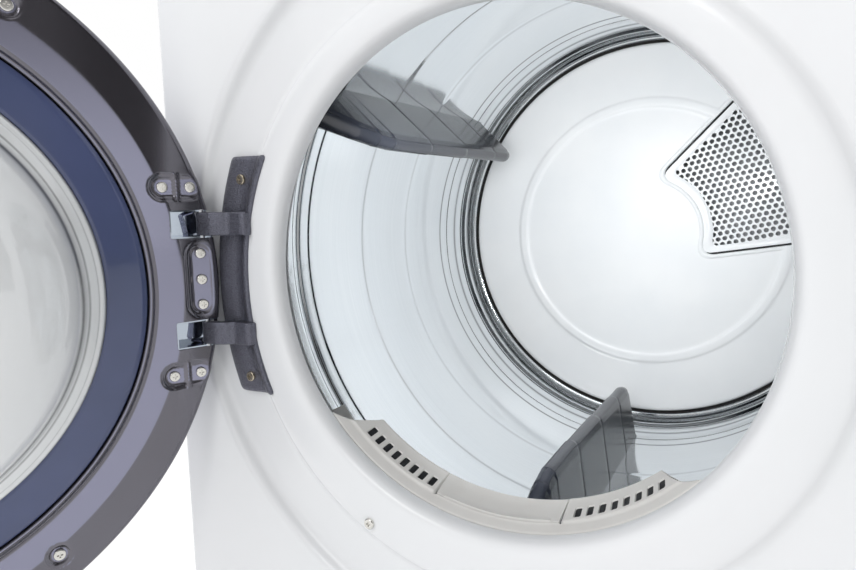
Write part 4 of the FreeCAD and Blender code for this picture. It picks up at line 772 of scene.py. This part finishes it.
def makeRearDisc(s):
    # flat disc with an embossed ring and a rolled edge, pierced by the fan
    line = evenly(closedLine([(c[0], s["depth"] + c[1]) + tuple(c[2:]) for c in s["profile"]]), 12.0)
    grid = lathe(line, np.arange(0, 360, 2.0), drum["axisZ"])
    mesh = gridMesh("rearDisc", grid, True, False, towards=(0, -2000, drum["axisZ"]))
    disc = addExtra("rearDisc", mesh, innerEnamel, sharp=180)
    addWall(disc, s["sheet"])
    cutWith(disc, [prismCutter(fanOutline(vent, vent["gapTo"]), s["depth"] - 20, s["depth"] + 20)])
    disc.data.shade_smooth()
    disc.data.set_sharp_from_angle(angle=math.radians(40))


def makeVentRim(s):
    # a rolled bead round the fan, a flat margin lying on the grille and, in the gap between them, a black strip
    # that is painted shade for the shadow there; each is its section swept round the fan's outline
    for name, section, finish in (("ventBead", "bead", innerEnamel), ("ventMargin", "margin", innerEnamel),
                                  ("ventShadeStrip", "shadeStrip", blackPlastic)):
        rows = [atDepth(fanOutline(s, grow), rearDisc["depth"] + drop) for grow, drop in s[section]]
        addExtra(name, gridMesh(name, np.stack(rows, 1), True, True), finish, sharp=60)


def makeRearPlate(s):
    # the flat part of the rear bulkhead that carries the disc: a square sheet with a round hole
    corners = np.degrees([math.atan2(z, x) for x in (s["plateHalf"], -s["plateHalf"])
                          for z in (s["plateUp"], -s["plateDown"])]) % 360
    angles = np.unique(np.round(np.concatenate([np.arange(0, 360, 3.0), corners]), 4))
    a = np.radians(angles)
    c, n = np.cos(a), np.sin(a)
    with np.errstate(divide="ignore"):
        edge = np.minimum(s["plateHalf"] / np.abs(c), np.where(n > 0, s["plateUp"], s["plateDown"]) / np.abs(n))
    radius = np.stack([np.full_like(a, s["plateHoleR"]), (s["plateHoleR"] + edge) / 2, edge], -1)
    grid = np.stack([
        radius * c[:, None], np.full_like(radius, frontY + s["plate"]),
        drum["axisZ"] + radius * n[:, None]], -1)
    mesh = gridMesh("rearPlate", grid, True, False, towards=(0, -4000, drum["axisZ"]))
    addPiece("rearPlate", mesh, innerEnamel, ["rear_bulkhead"], wall=s["sheet"])


makeRearPlate(rearDisc)
makeRearDisc(rearDisc)
makeVentRim(vent)
print("rear bulkhead made")


# ------------------------------------------------------------ door, worked out closed and then swung open
door = {
    "centreZ": 509.0, "planeDepth": -5.6, "hingeX": -285.5, "hingeDepth": -10.75, "open": -112.8,
    "slots": (54.5, -51.0), "slotHalf": 13.25, "slotInner": -255.0,
    "screwAngles": (57.0, 122.0, 238.0, 303.0), "screwCircle": 271.0,
    # (radius, height k above the inner face, rounding)
    "ring": [
        (234.0, -11.5), (234.0, -3.4, 1.0), (236.6, -3.4, 0.8), (238.4, -0.7, 0.8), (240.6, 0.0, 1.0),
        (264.0, 0.0, 2), (297.8, -3.4, 3.0), (301.0, -8.5, 3), (301.0, -13.8, 0.5), (298.0, -13.8, 0.5),
        (297.4, -11.0, 3), (290.0, -8.6, 4), (266.0, -6.6, 4), (240.0, -6.0, 1), (237.0, -11.5),
    ],
    "outer": [
        (301.0, -14.4, 0.4), (299.2, -17.0, 2), (292.0, -25.0, 5), (275.0, -40.0, 12), (239.0, -47.4, 14),
        (225.0, -48.0, 4), (205.0, -48.0, 3), (199.0, -46.0, 2), (197.5, -42.0), (200.5, -42.0),
        (203.5, -44.6, 1), (225.0, -45.0, 4), (239.0, -44.4, 14), (273.2, -37.6, 10), (289.8, -22.9, 4),
        (298.0, -14.4),
    ],
    "tint": [
        (197.8, -2.0), (200.0, -1.2, 1), (229.0, -4.6, 2), (233.0, -5.8, 1.5), (233.0, -8.6),
        (228.0, -7.6), (200.0, -4.2), (197.8, -5.2),
    ],
    "bowl": [
        (197.0, -6.0), (197.0, 1.0, 2), (194.5, 4.4, 2), (191.0, 5.0, 1.0), (189.5, 6.2, 1.0),
        (186.0, 7.4, 2), (181.0, 9.0, 2), (178.2, 14.0, 3), (174.5, 20.0, 5), (170.0, 28.5, 6),
        (160.0, 39.0, 12), (140.0, 50.0, 16), (110.0, 59.0, 16), (70.0, 64.8, 16), (30.0, 66.8, 8),
        (0.0, 67.0),
    ],
    "bowlWall": 5.0,
    # (radius, half width, strength) of the dark lines painted into the glass, a painted reflection of the
    # stepped rim
    "bowlPaintedLines": [(196.0, 1.0, 0.5), (182.6, 0.8, 0.6), (176.2, 2.0, 0.85), (190.5, 0.6, 0.25)],
    # inside corners are this round where a hinge slot is cut; the cut runs off the ring at slotOff
    "slotCorner": 2.5, "slotOff": -340.0,
}


def swung(grid, s=door):
    # closed door to open door: a turn about the upright hinge line
    a = math.radians(s["open"])
    dx, dy = grid[..., 0] - s["hingeX"], grid[..., 1] - (frontY + s["hingeDepth"])
    return np.stack([s["hingeX"] + dx * math.cos(a) - dy * math.sin(a),
                     frontY + s["hingeDepth"] + dx * math.sin(a) + dy * math.cos(a), grid[..., 2]], -1)


def doorGrid(line, angles, s=door):
    return lathe(np.stack([line[:, 0], s["planeDepth"] + line[:, 1]], -1), angles, s["centreZ"])


def stadiumDistance(u, v, centre, half, radius):
    # distance outside a stadium: an upright segment of half-length half, fattened by radius
    return np.hypot(u - centre[0], np.maximum(np.abs(v - centre[1]) - half, 0)) - radius


# recesses in the ring's inner face: centre (u, v), half length, radius, wall width, lying down, depth,
# rib across the middle
doorWells = [
    ((-282.0, 1.5), 22.5, 16.5, 8.5, False, 3.2, False),
    ((-263.5, 89.0), 12.5, 13.5, 6.0, True, 3.4, True),
    ((-263.5, -89.0), 12.5, 13.5, 6.0, True, 3.4, True),
]
for screwAngle in door["screwAngles"]:
    screwPlace = tuple(door["screwCircle"] * f(math.radians(screwAngle)) for f in (math.cos, math.sin))
    doorWells.append((screwPlace, 0.0, 11.5, 4.5, False, 3.4, False))


def ringAngles():
    # closer together near the hinge and the screw wells
    parts = [np.arange(0, 360, 1.5), np.arange(156, 204, 0.2)]
    parts += [np.arange(t - 3.2, t + 3.2, 0.2) for t in door["screwAngles"]]
    return np.unique(np.round(np.concatenate(parts), 3)) % 360


def makeDoorRing(s):
    # turned profile; each well goes down in two smooth steps of its distance, with a small ledge between them;
    # the hinge slots are cut afterwards
    line = closedLine(s["ring"], closed=True)
    line = evenly(np.concatenate([line, line[:1]]), 1.1)[:-1]
    grid = doorGrid(line, ringAngles())
    u, v = grid[..., 0], grid[..., 2] - s["centreZ"]
    k = grid[..., 1] - frontY - s["planeDepth"]
    outermost = np.argmax(line[:, 0] * 10 - np.abs(line[:, 1] + 13.8))
    faceSide = np.broadcast_to((np.arange(len(line)) < outermost + 1)[None], u.shape) & (k > -9)
    for centre, half, radius, wall, lying, deep, ribbed in doorWells:
        du, dv = (v - centre[1] + centre[0], u - centre[0] + centre[1]) if lying else (u, v)
        distance = stadiumDistance(du, dv, centre, half, radius)
        press = 0.35 * (1 - smoothStep(distance, -wall * 0.45, 0.3))
        press = press + 0.65 * (1 - smoothStep(distance, -wall, -wall * 0.55))
        bottom = np.where(k < 0, k, 0) * (1 - press) - press * deep
        if ribbed:
            rib = 1 - smoothStep(np.abs(u - centre[0]), 1.2, 3.0)
            bottom = bottom + rib * press * (deep - 1.2)
        k = np.where(faceSide & (distance < 0.3), bottom, k)
    grid = np.stack([u, frontY + s["planeDepth"] + k, s["centreZ"] + v], -1)
    mesh = gridMesh("doorRing", swung(grid), True, True)
    ring = addPiece("doorRing", mesh, doorLacquer, ["door_inner_frame"], sharp=70)
    cutters = []
    for height in s["slots"]:
        z = s["centreZ"] + height
        low, high = z - s["slotHalf"], z + s["slotHalf"]
        box = closedLine([(s["slotOff"], low), (s["slotInner"], low, s["slotCorner"]),
                          (s["slotInner"], high, s["slotCorner"]), (s["slotOff"], high)], closed=True)
        cutters.append(prismCutter(box, s["planeDepth"] - 12.5, s["planeDepth"] + 8, onDoor=True))
    cutWith(ring, cutters)
    ring.data.shade_smooth()
    ring.data.set_sharp_from_angle(angle=math.radians(50))
    # painted shade: what leans away from the door's flat side gets a darker colour and a dimmer glint
    normals = np.empty(len(ring.data.vertices) * 3)
    ring.data.vertex_normals.foreach_get("vector", normals)
    turned = math.radians(s["open"])
    facing = normals.reshape(-1, 3) @ np.array([-math.sin(turned), math.cos(turned), 0.0])
    lean = np.degrees(np.arccos(np.clip(facing, -1, 1)))
    storePaintedShade(ring.data, smoothStep(lean, 1.6, 4.6))


def makeDoorCover(s):
    # the outer shell: turned profile, with the finger pocket and the hinge slots pushed in radially
    line = closedLine(s["outer"], closed=True)
    line = evenly(np.concatenate([line, line[:1]]), 4.0)[:-1]
    angles = [np.arange(0, 360, 1.2), np.arange(-12, 12, 0.3) % 360, np.arange(160, 200, 0.3)]
    angles = np.unique(np.round(np.concatenate(angles), 3))
    grid = doorGrid(line, angles)
    u, v = grid[..., 0], grid[..., 2] - s["centreZ"]
    k = grid[..., 1] - frontY - s["planeDepth"]
    radius = np.hypot(u, v)
    pocket = (1 - smoothStep(np.abs(v), 39.5, 42.5)) * smoothStep(k, -37.5, -34.5)
    pocket = pocket * (u > 0) * smoothStep(radius, 262, 266)
    newRadius = radius * (1 - pocket) + np.minimum(radius, 265.0) * pocket
    for height in s["slots"]:
        gap = 1 - smoothStep(np.abs(v - height), s["slotHalf"] - 0.9, s["slotHalf"] + 0.5)
        gap = gap * (u < 0) * smoothStep(k, -25.5, -23.5)
        newRadius = newRadius * (1 - gap) + np.minimum(newRadius, 279.0) * gap
    grid = np.stack([u * newRadius / radius, grid[..., 1], s["centreZ"] + v * newRadius / radius], -1)
    mesh = gridMesh("doorCover", swung(grid), True, True)
    addPiece("doorCover", mesh, doorLacquer, ["door_outer_frame"], sharp=70)


def makeTintRing(s):
    # closed profile turned about the door's axis
    line = closedLine(s["tint"], closed=True)
    line = evenly(np.concatenate([line, line[:1]]), 3.0)[:-1]
    mesh = gridMesh("tintRing", swung(doorGrid(line, np.arange(0, 360, 1.0))), True, True)
    addPiece("tintRing", mesh, blueAcrylic, ["door_tint_ring"], sharp=50)


def closedPlace(points, s=door):
    # where points of the open door would be with it shut: across and up from its axis, and how far
    # above its inner face
    a = -math.radians(s["open"])
    dx, dy = points[:, 0] - s["hingeX"], points[:, 1] - (frontY + s["hingeDepth"])
    u = s["hingeX"] + dx * math.cos(a) - dy * math.sin(a)
    k = s["hingeDepth"] + dx * math.sin(a) + dy * math.cos(a) - s["planeDepth"]
    return u, points[:, 2] - s["centreZ"], k


def makeLiners(s):
    # the CAD liners with their mouths lowered to just under the sloping ring
    piece = finishedCopy("hinge_slot_liners", linerBlack)
    points = meshPoints(piece.data)
    u, v, k = closedPlace(points)
    sunk = np.minimum(k, -0.25 - np.maximum(np.hypot(u, v) - 264, 0) * 0.1)
    grid = np.stack([u, frontY + s["planeDepth"] + sunk, s["centreZ"] + v], -1)
    piece.data.vertices.foreach_set("co", (swung(grid) / 1000).ravel())
    piece.data.update()


def makeBowl(s):
    # the bowl's drum side, turned to a pole, with its wall added behind
    line = evenly(closedLine(s["bowl"]), 1.4)
    line[-1, 0] = 0.0
    grid = swung(doorGrid(line, np.arange(0, 360, 1.5)))
    mesh = gridMesh("glassBowl", grid, True, False, towards=(400, 100, s["centreZ"]))
    across, up, _ = closedPlace(meshPoints(mesh))
    markPaintedShade(mesh, np.hypot(across, up), s["bowlPaintedLines"])
    addPiece("glassBowl", mesh, bowlGlass, ["door_glass"], sharp=60, wall=s["bowlWall"])


makeDoorRing(door)
makeDoorCover(door)
makeTintRing(door)
makeBowl(door)
makeLiners(door)
print("door made")


# ------------------------------------------------------------ hinge bracket
bracket = {
    "centreZ": 509.0, "bottom": 399.0, "top": 626.0, "floor": 11.0,
    # (radius, depth, rounding) across the bracket, from the land side outwards
    "section": [
        (243.0, 11.2), (243.0, 2.9, 1.2), (245.5, 1.7, 1.6), (248.6, 2.4, 1.5), (251.5, 5.2, 2.5),
        (258.0, 6.1, 4), (266.0, 4.3, 5), (276.0, 3.4, 5), (281.6, 4.6, 3), (283.0, 7.8, 2), (283.0, 11.2),
    ],
    "middle": 263.0, "half": 20.0, "endRound": 4.5, "endDrop": 2.2, "sunk": 0.2,
    "arm": [
        (-285.5, -15.6, 4), (-270.5, -14.2, 4), (-261.5, -9.4, 4), (-257.0, -4.7, 4), (-240.0, -4.2, 4),
        (-236.4, -1.6, 3), (-235.8, 4.4, 1), (-247.0, 5.4, 3), (-249.5, 0.6, 4), (-262.0, 0.2, 5),
        (-273.5, -5.4, 5), (-285.5, -5.9, 4), (-290.3, -8.4, 3), (-290.3, -13.2, 3),
    ],
    "armHalf": 11.0, "armRound": 1.6,
}


def makeBracket(s):
    # the arc's section laid in level rows, x = -sqrt(r^2 - z^2), so both ends are level; near them the section
    # sinks and narrows as a quarter circle, which rounds the corners
    line = evenly(closedLine(s["section"]), 1.2)
    e = np.concatenate([np.linspace(0, 1, 10) ** 2 * s["endRound"], np.linspace(s["endRound"], 113, 60)[1:]])
    z = np.unique(np.concatenate([s["bottom"] + e, s["top"] - e]))
    near = np.clip(np.minimum(z - s["bottom"], s["top"] - z) / s["endRound"], 0, 1)
    fall = np.sqrt(np.maximum(1 - (1 - near) ** 2, 0))
    offset = line[:, 0][None] - s["middle"]
    narrowed = np.minimum(np.abs(offset), s["half"] - (s["endRound"] * (1 - fall))[:, None])
    radius = s["middle"] + np.sign(offset) * narrowed
    seat = s["floor"] + s["sunk"]
    height = (seat - line[:, 1])[None]
    lift = height - np.minimum(height, s["endDrop"]) * (1 - fall)[:, None]
    level = (z - s["centreZ"])[:, None]
    x = -np.sqrt(radius ** 2 - level ** 2)
    grid = np.stack([x, frontY + seat - lift, s["centreZ"] + level + 0 * x], -1)
    mesh = gridMesh("bracketPlate", grid, False, True, caps=True)
    addPiece("bracketPlate", mesh, castZinc, ["hinge_bracket"], sharp=50)


def makeHingeArm(index, height, s):
    # rounded outline in plan, carried up the arm's height, drawn in a little at both ends
    line = closedLine(s["arm"], closed=True)
    line = evenly(np.concatenate([line, line[:1]]), 1.2)[:-1]
    ahead, behind = np.roll(line, -1, 0), np.roll(line, 1, 0)
    tangent = ahead - behind
    tangent = tangent / np.maximum(np.linalg.norm(tangent, axis=1, keepdims=True), 1e-6)
    area = 0.5 * np.sum(line[:, 0] * ahead[:, 1] - ahead[:, 0] * line[:, 1])
    inward = np.stack([-tangent[:, 1], tangent[:, 0]], -1) * (1 if area > 0 else -1)
    t = np.radians(np.linspace(0, 90, 6))
    rise = s["armRound"] * (1 - np.cos(t))
    z = s["centreZ"] + height + np.concatenate([rise - s["armHalf"], s["armHalf"] - rise[::-1]])
    inset = s["armRound"] * (1 - np.sin(np.concatenate([t, t[::-1]])))
    flat = line[None] + inward[None] * inset[:, None, None]
    grid = np.stack([flat[..., 0], frontY + flat[..., 1], z[:, None] + 0 * flat[..., 0]], -1)
    mesh = gridMesh("hingeArm.%d" % index, grid, False, True, caps=True)
    addExtra("hingeArm.%d" % index, mesh, castZinc, sharp=50)


makeBracket(bracket)
for armIndex, armHeight in enumerate(door["slots"]):
    makeHingeArm(armIndex, armHeight, bracket)
print("hinge made")


def makeHingePins(s):
    # chamfered pins turned about the hinge line, as long as the slots they cross
    reach = s["slotHalf"] + 0.4
    line = np.array([
        (0.0, -reach), (2.6, -reach), (3.0, 0.4 - reach), (3.0, reach - 0.4), (2.6, reach), (0.0, reach)])
    a = np.radians(np.arange(0, 360, 12))[:, None]
    for index, height in enumerate(s["slots"]):
        grid = np.stack([
            s["hingeX"] + line[:, 0] * np.cos(a), frontY + s["hingeDepth"] + line[:, 0] * np.sin(a),
            s["centreZ"] + height + line[:, 1] + 0 * a], -1)
        mesh = gridMesh("hingePin.%d" % index, swung(grid), True, False)
        addPiece("hingePin.%d" % index, mesh, groundSteel, ["hinge_pins"], sharp=40)


makeHingePins(door)


# ------------------------------------------------------------ lint lip
lip = {
    "centreZ": 520.0, "halfSpan": 51.5,
    # (depth, angle) where the ends run out
    "ends": [(22, 51.0), (26, 49.2), (31.5, 46.9), (33.5, 46.2), (61.2, 41.4)],
    # (radius, depth, rounding): front band, groove, sloping face, ridge, back skirt
    "section": [
        (226.0, 22.0), (209.2, 22.0, 1.2), (207.4, 26.0, 2), (205.6, 30.4, 1.0), (204.6, 31.8, 0.8),
        (203.4, 33.0, 1.0), (197.6, 55.0, 3), (196.3, 58.6, 1.4), (197.2, 61.2, 1.2), (204.0, 61.2, 2),
        (226.0, 61.2),
    ],
    "skirtR": 226.0, "faceR": 209.5,    # the skirt's outside; only what lies inside faceR is pressed
    "firstSlot": {-1: 18.8, 1: 20.0}, "slotPitch": 3.0, "slots": 8, "slotR": 201.0, "slotCorner": 1.2,
    "slotHalfWide": 2.7, "slotFrom": 36.0, "slotTo": 47.0, "slotDeep": 7.5,
    "panelHalf": 16.35, "panelGap": 0.35, "seamDeep": 1.6, "panelDip": 0.7, "bandTo": 31.9, "bandThick": 3.0,
    # (radius, depth) of the black strips behind the slots, painted shade for the dark inside them
    "slotShadeStrip": [(204.5, 34.5), (200.4, 48.5), (203.6, 48.7), (207.2, 34.7)], "slotShadeArc": (18.0, 42.6),
}


def lipSurface(s):
    # section carried round the bottom of the opening; its rear is shorter than its front, so the ends run
    # out in points; slots and the handle's seams are pressed in by smooth steps
    line = evenly(closedLine(s["section"]), 0.6)
    fine = [np.arange(-s["halfSpan"], s["halfSpan"] + 0.01, 0.5)]
    for side in (-1, 1):
        first = s["firstSlot"][side]
        fine.append(side * np.arange(first - 1.6, first + s["slotPitch"] * (s["slots"] - 1) + 1.6, 0.14))
        fine.append(side * np.arange(s["panelHalf"] - 0.6, s["panelHalf"] + 0.6, 0.1))
    angles = np.unique(np.round(np.concatenate(fine), 3))
    angle = angles[:, None]
    depth = line[:, 1][None] + 0 * angle
    radius = line[:, 0][None] + 0 * angle
    ends = np.array(s["ends"])
    reach = np.interp(depth, ends[:, 0], ends[:, 1])
    overrun = smoothStep(np.abs(angle), reach - 0.8, reach + 0.2)
    radius = radius + overrun * np.clip(s["skirtR"] - radius, 0, 40)
    face = radius < s["faceR"]
    slotMiddle, slotHalf = (s["slotFrom"] + s["slotTo"]) / 2, (s["slotTo"] - s["slotFrom"]) / 2
    along = np.abs(depth - slotMiddle) - slotHalf + s["slotCorner"]
    for side in (-1, 1):
        local = side * angle - s["firstSlot"][side]
        nearest = np.clip(np.round(local / s["slotPitch"]), 0, s["slots"] - 1) * s["slotPitch"]
        across = np.abs(local - nearest) * math.pi / 180 * s["slotR"] - s["slotHalfWide"] + s["slotCorner"]
        outside = np.hypot(np.maximum(across, 0), np.maximum(along, 0)) - s["slotCorner"]
        radius = radius + np.where(face, s["slotDeep"] * (1 - smoothStep(outside, -0.55, 0.25)), 0)
    seam = np.exp(-((np.abs(angle) - s["panelHalf"]) / s["panelGap"]) ** 2)
    radius = radius + np.where(face & (depth > 31), s["seamDeep"] * seam, 0)
    inPanel = 1 - smoothStep(np.abs(angle), s["panelHalf"] - 0.3, s["panelHalf"])
    radius = radius + np.where(face & (depth > 34), s["panelDip"] * inPanel * smoothStep(depth, 46, 54), 0)
    a = np.radians(-90 + angle)
    return np.stack([radius * np.cos(a), frontY + depth, s["centreZ"] + radius * np.sin(a)], -1), angles


def makeLintLip(s):
    # the lip on both sides of the handle, black strips behind its slots as painted shade, and the band that
    # runs on in front of the handle; the handle itself rides with the filter
    grid, angles = lipSurface(s)
    half = s["panelHalf"] + 1e-6
    for name, keep in (("lipLeft", angles <= 2e-6 - half), ("lipRight", angles >= half - 2e-6)):
        mesh = gridMesh(name, grid[keep], False, True, caps=True)
        addPiece(name, mesh, lipPlastic, ["lint_housing"], sharp=50)
    # painted shade: black strips under the slots stand in for the dark inside them
    arc = np.arange(*s["slotShadeArc"], 0.5)
    for side, name in ((-1, "slotShadeLeft"), (1, "slotShadeRight")):
        floor = lathe(np.array(s["slotShadeStrip"]), -90 + side * arc, s["centreZ"])
        addExtra(name, gridMesh(name, floor, False, True, caps=True), blackPlastic)
    middle = grid[np.abs(angles) <= half]
    front = middle[:, middle[0, :, 1] - frontY < s["bandTo"]]
    behind = front[:, ::-1] - [0, 0, s["centreZ"]]
    scale = 1 + s["bandThick"] / np.hypot(behind[..., 0], behind[..., 2])[..., None]
    behind = [0, 0, s["centreZ"]] + behind * np.concatenate([scale, np.ones_like(scale), scale], -1)
    band = np.concatenate([front, behind], 1)
    addExtra("lipBand", gridMesh("lipBand", band, False, True, caps=True), lipPlastic, sharp=50)


makeLintLip(lip)
print("lint lip made")


# ------------------------------------------------------------ CAD pieces that keep their own shape
# node: (finish, bevel in millimetres)
smoothCopies = {
    "top_panel": (outerEnamel, 0.3), "left_side_panel": (outerEnamel, None),
    "right_side_panel": (outerEnamel, None), "control_fascia": (fasciaPlastic, 0.3),
    "display_window": (blackAcrylic, 0.2), "cycle_knob": (satinSilver, 0.3),
    "power_button": (satinSilver, 0.2), "start_button": (satinSilver, 0.2),
    "front_bulkhead": (innerEnamel, None), "vent_grille": (innerEnamel, None),
    "lint_filter": (lipPlastic, 0.4), "door_front_window": (windowGlass, None),
    "door_latch_hook": (acetal, 0.4), "latch_catch": (acetal, 0.4), "door_switch_plunger": (acetal, 0.2),
    "terminal_cover": (blackPlastic, 0.5), "exhaust_pipe": (galvanised, None),
    "foot_front_left": (rubber, 0.6), "foot_front_right": (rubber, 0.6), "foot_rear_left": (rubber, 0.6),
    "foot_rear_right": (rubber, 0.6), "cabinet_screws": (brightZinc, 0.15),
    "door_screws": (brightZinc, 0.15), "hinge_bracket_screws": (passivated, 0.15),
    "rear_panel": (galvanised, None),
}
keptAsTheyAre = {
    "base_pan": galvanised, "control_board": boardResist, "front_felt_seal": woolFelt,
    "rear_felt_seal": woolFelt, "inlet_duct": galvanised, "heater_housing": galvanised,
    "heater_coil": elementAlloy, "roller_front_left": acetal, "roller_front_right": acetal,
    "roller_rear_left": acetal, "roller_rear_right": acetal, "roller_shafts": groundSteel,
    "drive_belt": rubber, "motor_body": motorPaint, "motor_shaft": groundSteel, "idler_arm": galvanised,
    "idler_pulley": acetal, "idler_spring": groundSteel, "blower_housing": ductPlastic,
    "blower_wheel": blackPlastic, "lint_duct": ductPlastic,
}
for nodeName, (nodeFinish, nodeBevel) in smoothCopies.items():
    finishedCopy(nodeName, nodeFinish, bevel=nodeBevel)
for nodeName, nodeFinish in keptAsTheyAre.items():
    cadNodes[nodeName].data.materials.clear()
    cadNodes[nodeName].data.materials.append(nodeFinish)
print("carried-over pieces finished")


# ------------------------------------------------------------ studio
studio = {
    "floor": "#fafafa", "floorShade": "#f6f6f6", "floorGlow": 0.15, "floorHalf": 8.0,
    "behind": 1.0, "before": 0.95,      # world brightness behind the machine and on the viewer's side
    "lamps": [
        # name, kind, place, aim, size, watts, seen in reflections
        ("keyLight", "AREA", (-0.1, -2.9, 2.4), (0.0, 0.0, 0.5), 1.5, 16.0, True),
        ("leftFill", "AREA", (-1.1, -2.3, 2.3), (-0.2, -0.3, 0.4), 1.2, 13.0, False),
        ("drumBeam", "SPOT", (0.12, -1.60, 0.62), (0.0, -0.36, 0.52), 0.05, 6.0, True),
        ("drumFill", "AREA", (0.0, -0.25, 0.62), (0.0, 0.307, 0.50), 0.30, 2.8, False),
        ("doorBeam", "SPOT", (0.75, -1.45, 0.75), (-0.42, -0.66, 0.51), 0.20, 21.0, False),
        ("ductGlow", "AREA", (0.15, 0.316, 0.60), (0.151, 0.357, 0.60), 0.12, 0.04, False),
    ],
    "beamAngle": 18.0,
}


def makeWorld(s):
    # brightness follows direction: white behind, a little greyer in front, dark to the right and overhead on
    # the right, which is what the door's curves mirror
    world = bpy.data.worlds.new("studioWorld")
    world.use_nodes = True
    tree = world.node_tree
    where = addNode(tree, "ShaderNodeTexCoord")
    parts = addNode(tree, "ShaderNodeSeparateXYZ", {}, {"Vector": (where, "Generated")})

    def ramp(axis, start, end, low, high):
        # smooth step from low to high as this part of the direction goes from start to end
        made = addNode(tree, "ShaderNodeMapRange", {"interpolation_type": "SMOOTHSTEP"}, {
            "Value": (parts, axis), "From Min": start, "From Max": end, "To Min": low, "To Max": high})
        return made.outputs["Result"]

    def times(a, b):
        made = addNode(tree, "ShaderNodeMath", {"operation": "MULTIPLY"})
        tree.links.new(a, made.inputs[0])
        tree.links.new(b, made.inputs[1])
        return made.outputs[0]

    def without(a):
        made = addNode(tree, "ShaderNodeMath", {"operation": "SUBTRACT"})
        made.inputs[0].default_value = 1.0
        tree.links.new(a, made.inputs[1])
        return made.outputs[0]

    level = ramp("Y", -0.05, 0.35, s["before"], s["behind"])
    right = times(ramp("X", 0.45, 0.75, 0.0, 1.0), ramp("Y", -0.12, -0.03, 0.0, 0.93))
    overhead = times(ramp("X", 0.15, 0.55, 0.0, 1.0), ramp("Z", 0.02, 0.36, 0.0, 0.85))
    strength = times(times(level, without(right)), without(overhead))
    tree.links.new(strength, tree.nodes["Background"].inputs["Strength"])
    tree.nodes["Background"].inputs["Color"].default_value = (1, 1, 1, 1)
    bpy.context.scene.world = world


def addLamp(name, kind, place, aim, size, watts, mirrored, angle):
    # a lamp in metres, turned to its aim; it is never seen itself
    data = bpy.data.lights.new(name, kind)
    if kind == "SPOT":
        data.spot_size = math.radians(angle)
        data.spot_blend = 0.35
        data.shadow_soft_size = size
    else:
        data.shape = "DISK"
        data.size = size
    data.energy = watts
    light = bpy.data.objects.new(name, data)
    bpy.context.scene.collection.objects.link(light)
    light.location = place
    light.rotation_mode = "QUATERNION"
    light.rotation_quaternion = (Vector(aim) - Vector(place)).to_track_quat("-Z", "Y")
    light.visible_camera = False
    light.visible_glossy = mirrored


def makeStudio(s):
    # a large pale floor, the world and the lamps
    floorFinish = mouldedOrPainted("studioFloor", {
    "colour": s["floor"], "shade": s["floorShade"], "patchMm": 900, "rough": (0.6, 0.7), "grainMm": 5.0,
    "bump": 0.02})
    glow = floorFinish.node_tree.nodes["Principled BSDF"].inputs
    glow["Emission Color"].default_value = (1, 1, 1, 1)
    glow["Emission Strength"].default_value = s["floorGlow"]
    mesh = bpy.data.meshes.new("floor")
    far = s["floorHalf"]
    mesh.from_pydata([(-far, -far, 0), (far, -far, 0), (far, far, 0), (-far, far, 0)], [], [(0, 1, 2, 3)])
    mesh.materials.append(floorFinish)
    floor = bpy.data.objects.new("floor", mesh)
    bpy.context.scene.collection.objects.link(floor)
    makeWorld(s)
    for lamp in s["lamps"]:
        addLamp(*lamp, s["beamAngle"])


makeStudio(studio)
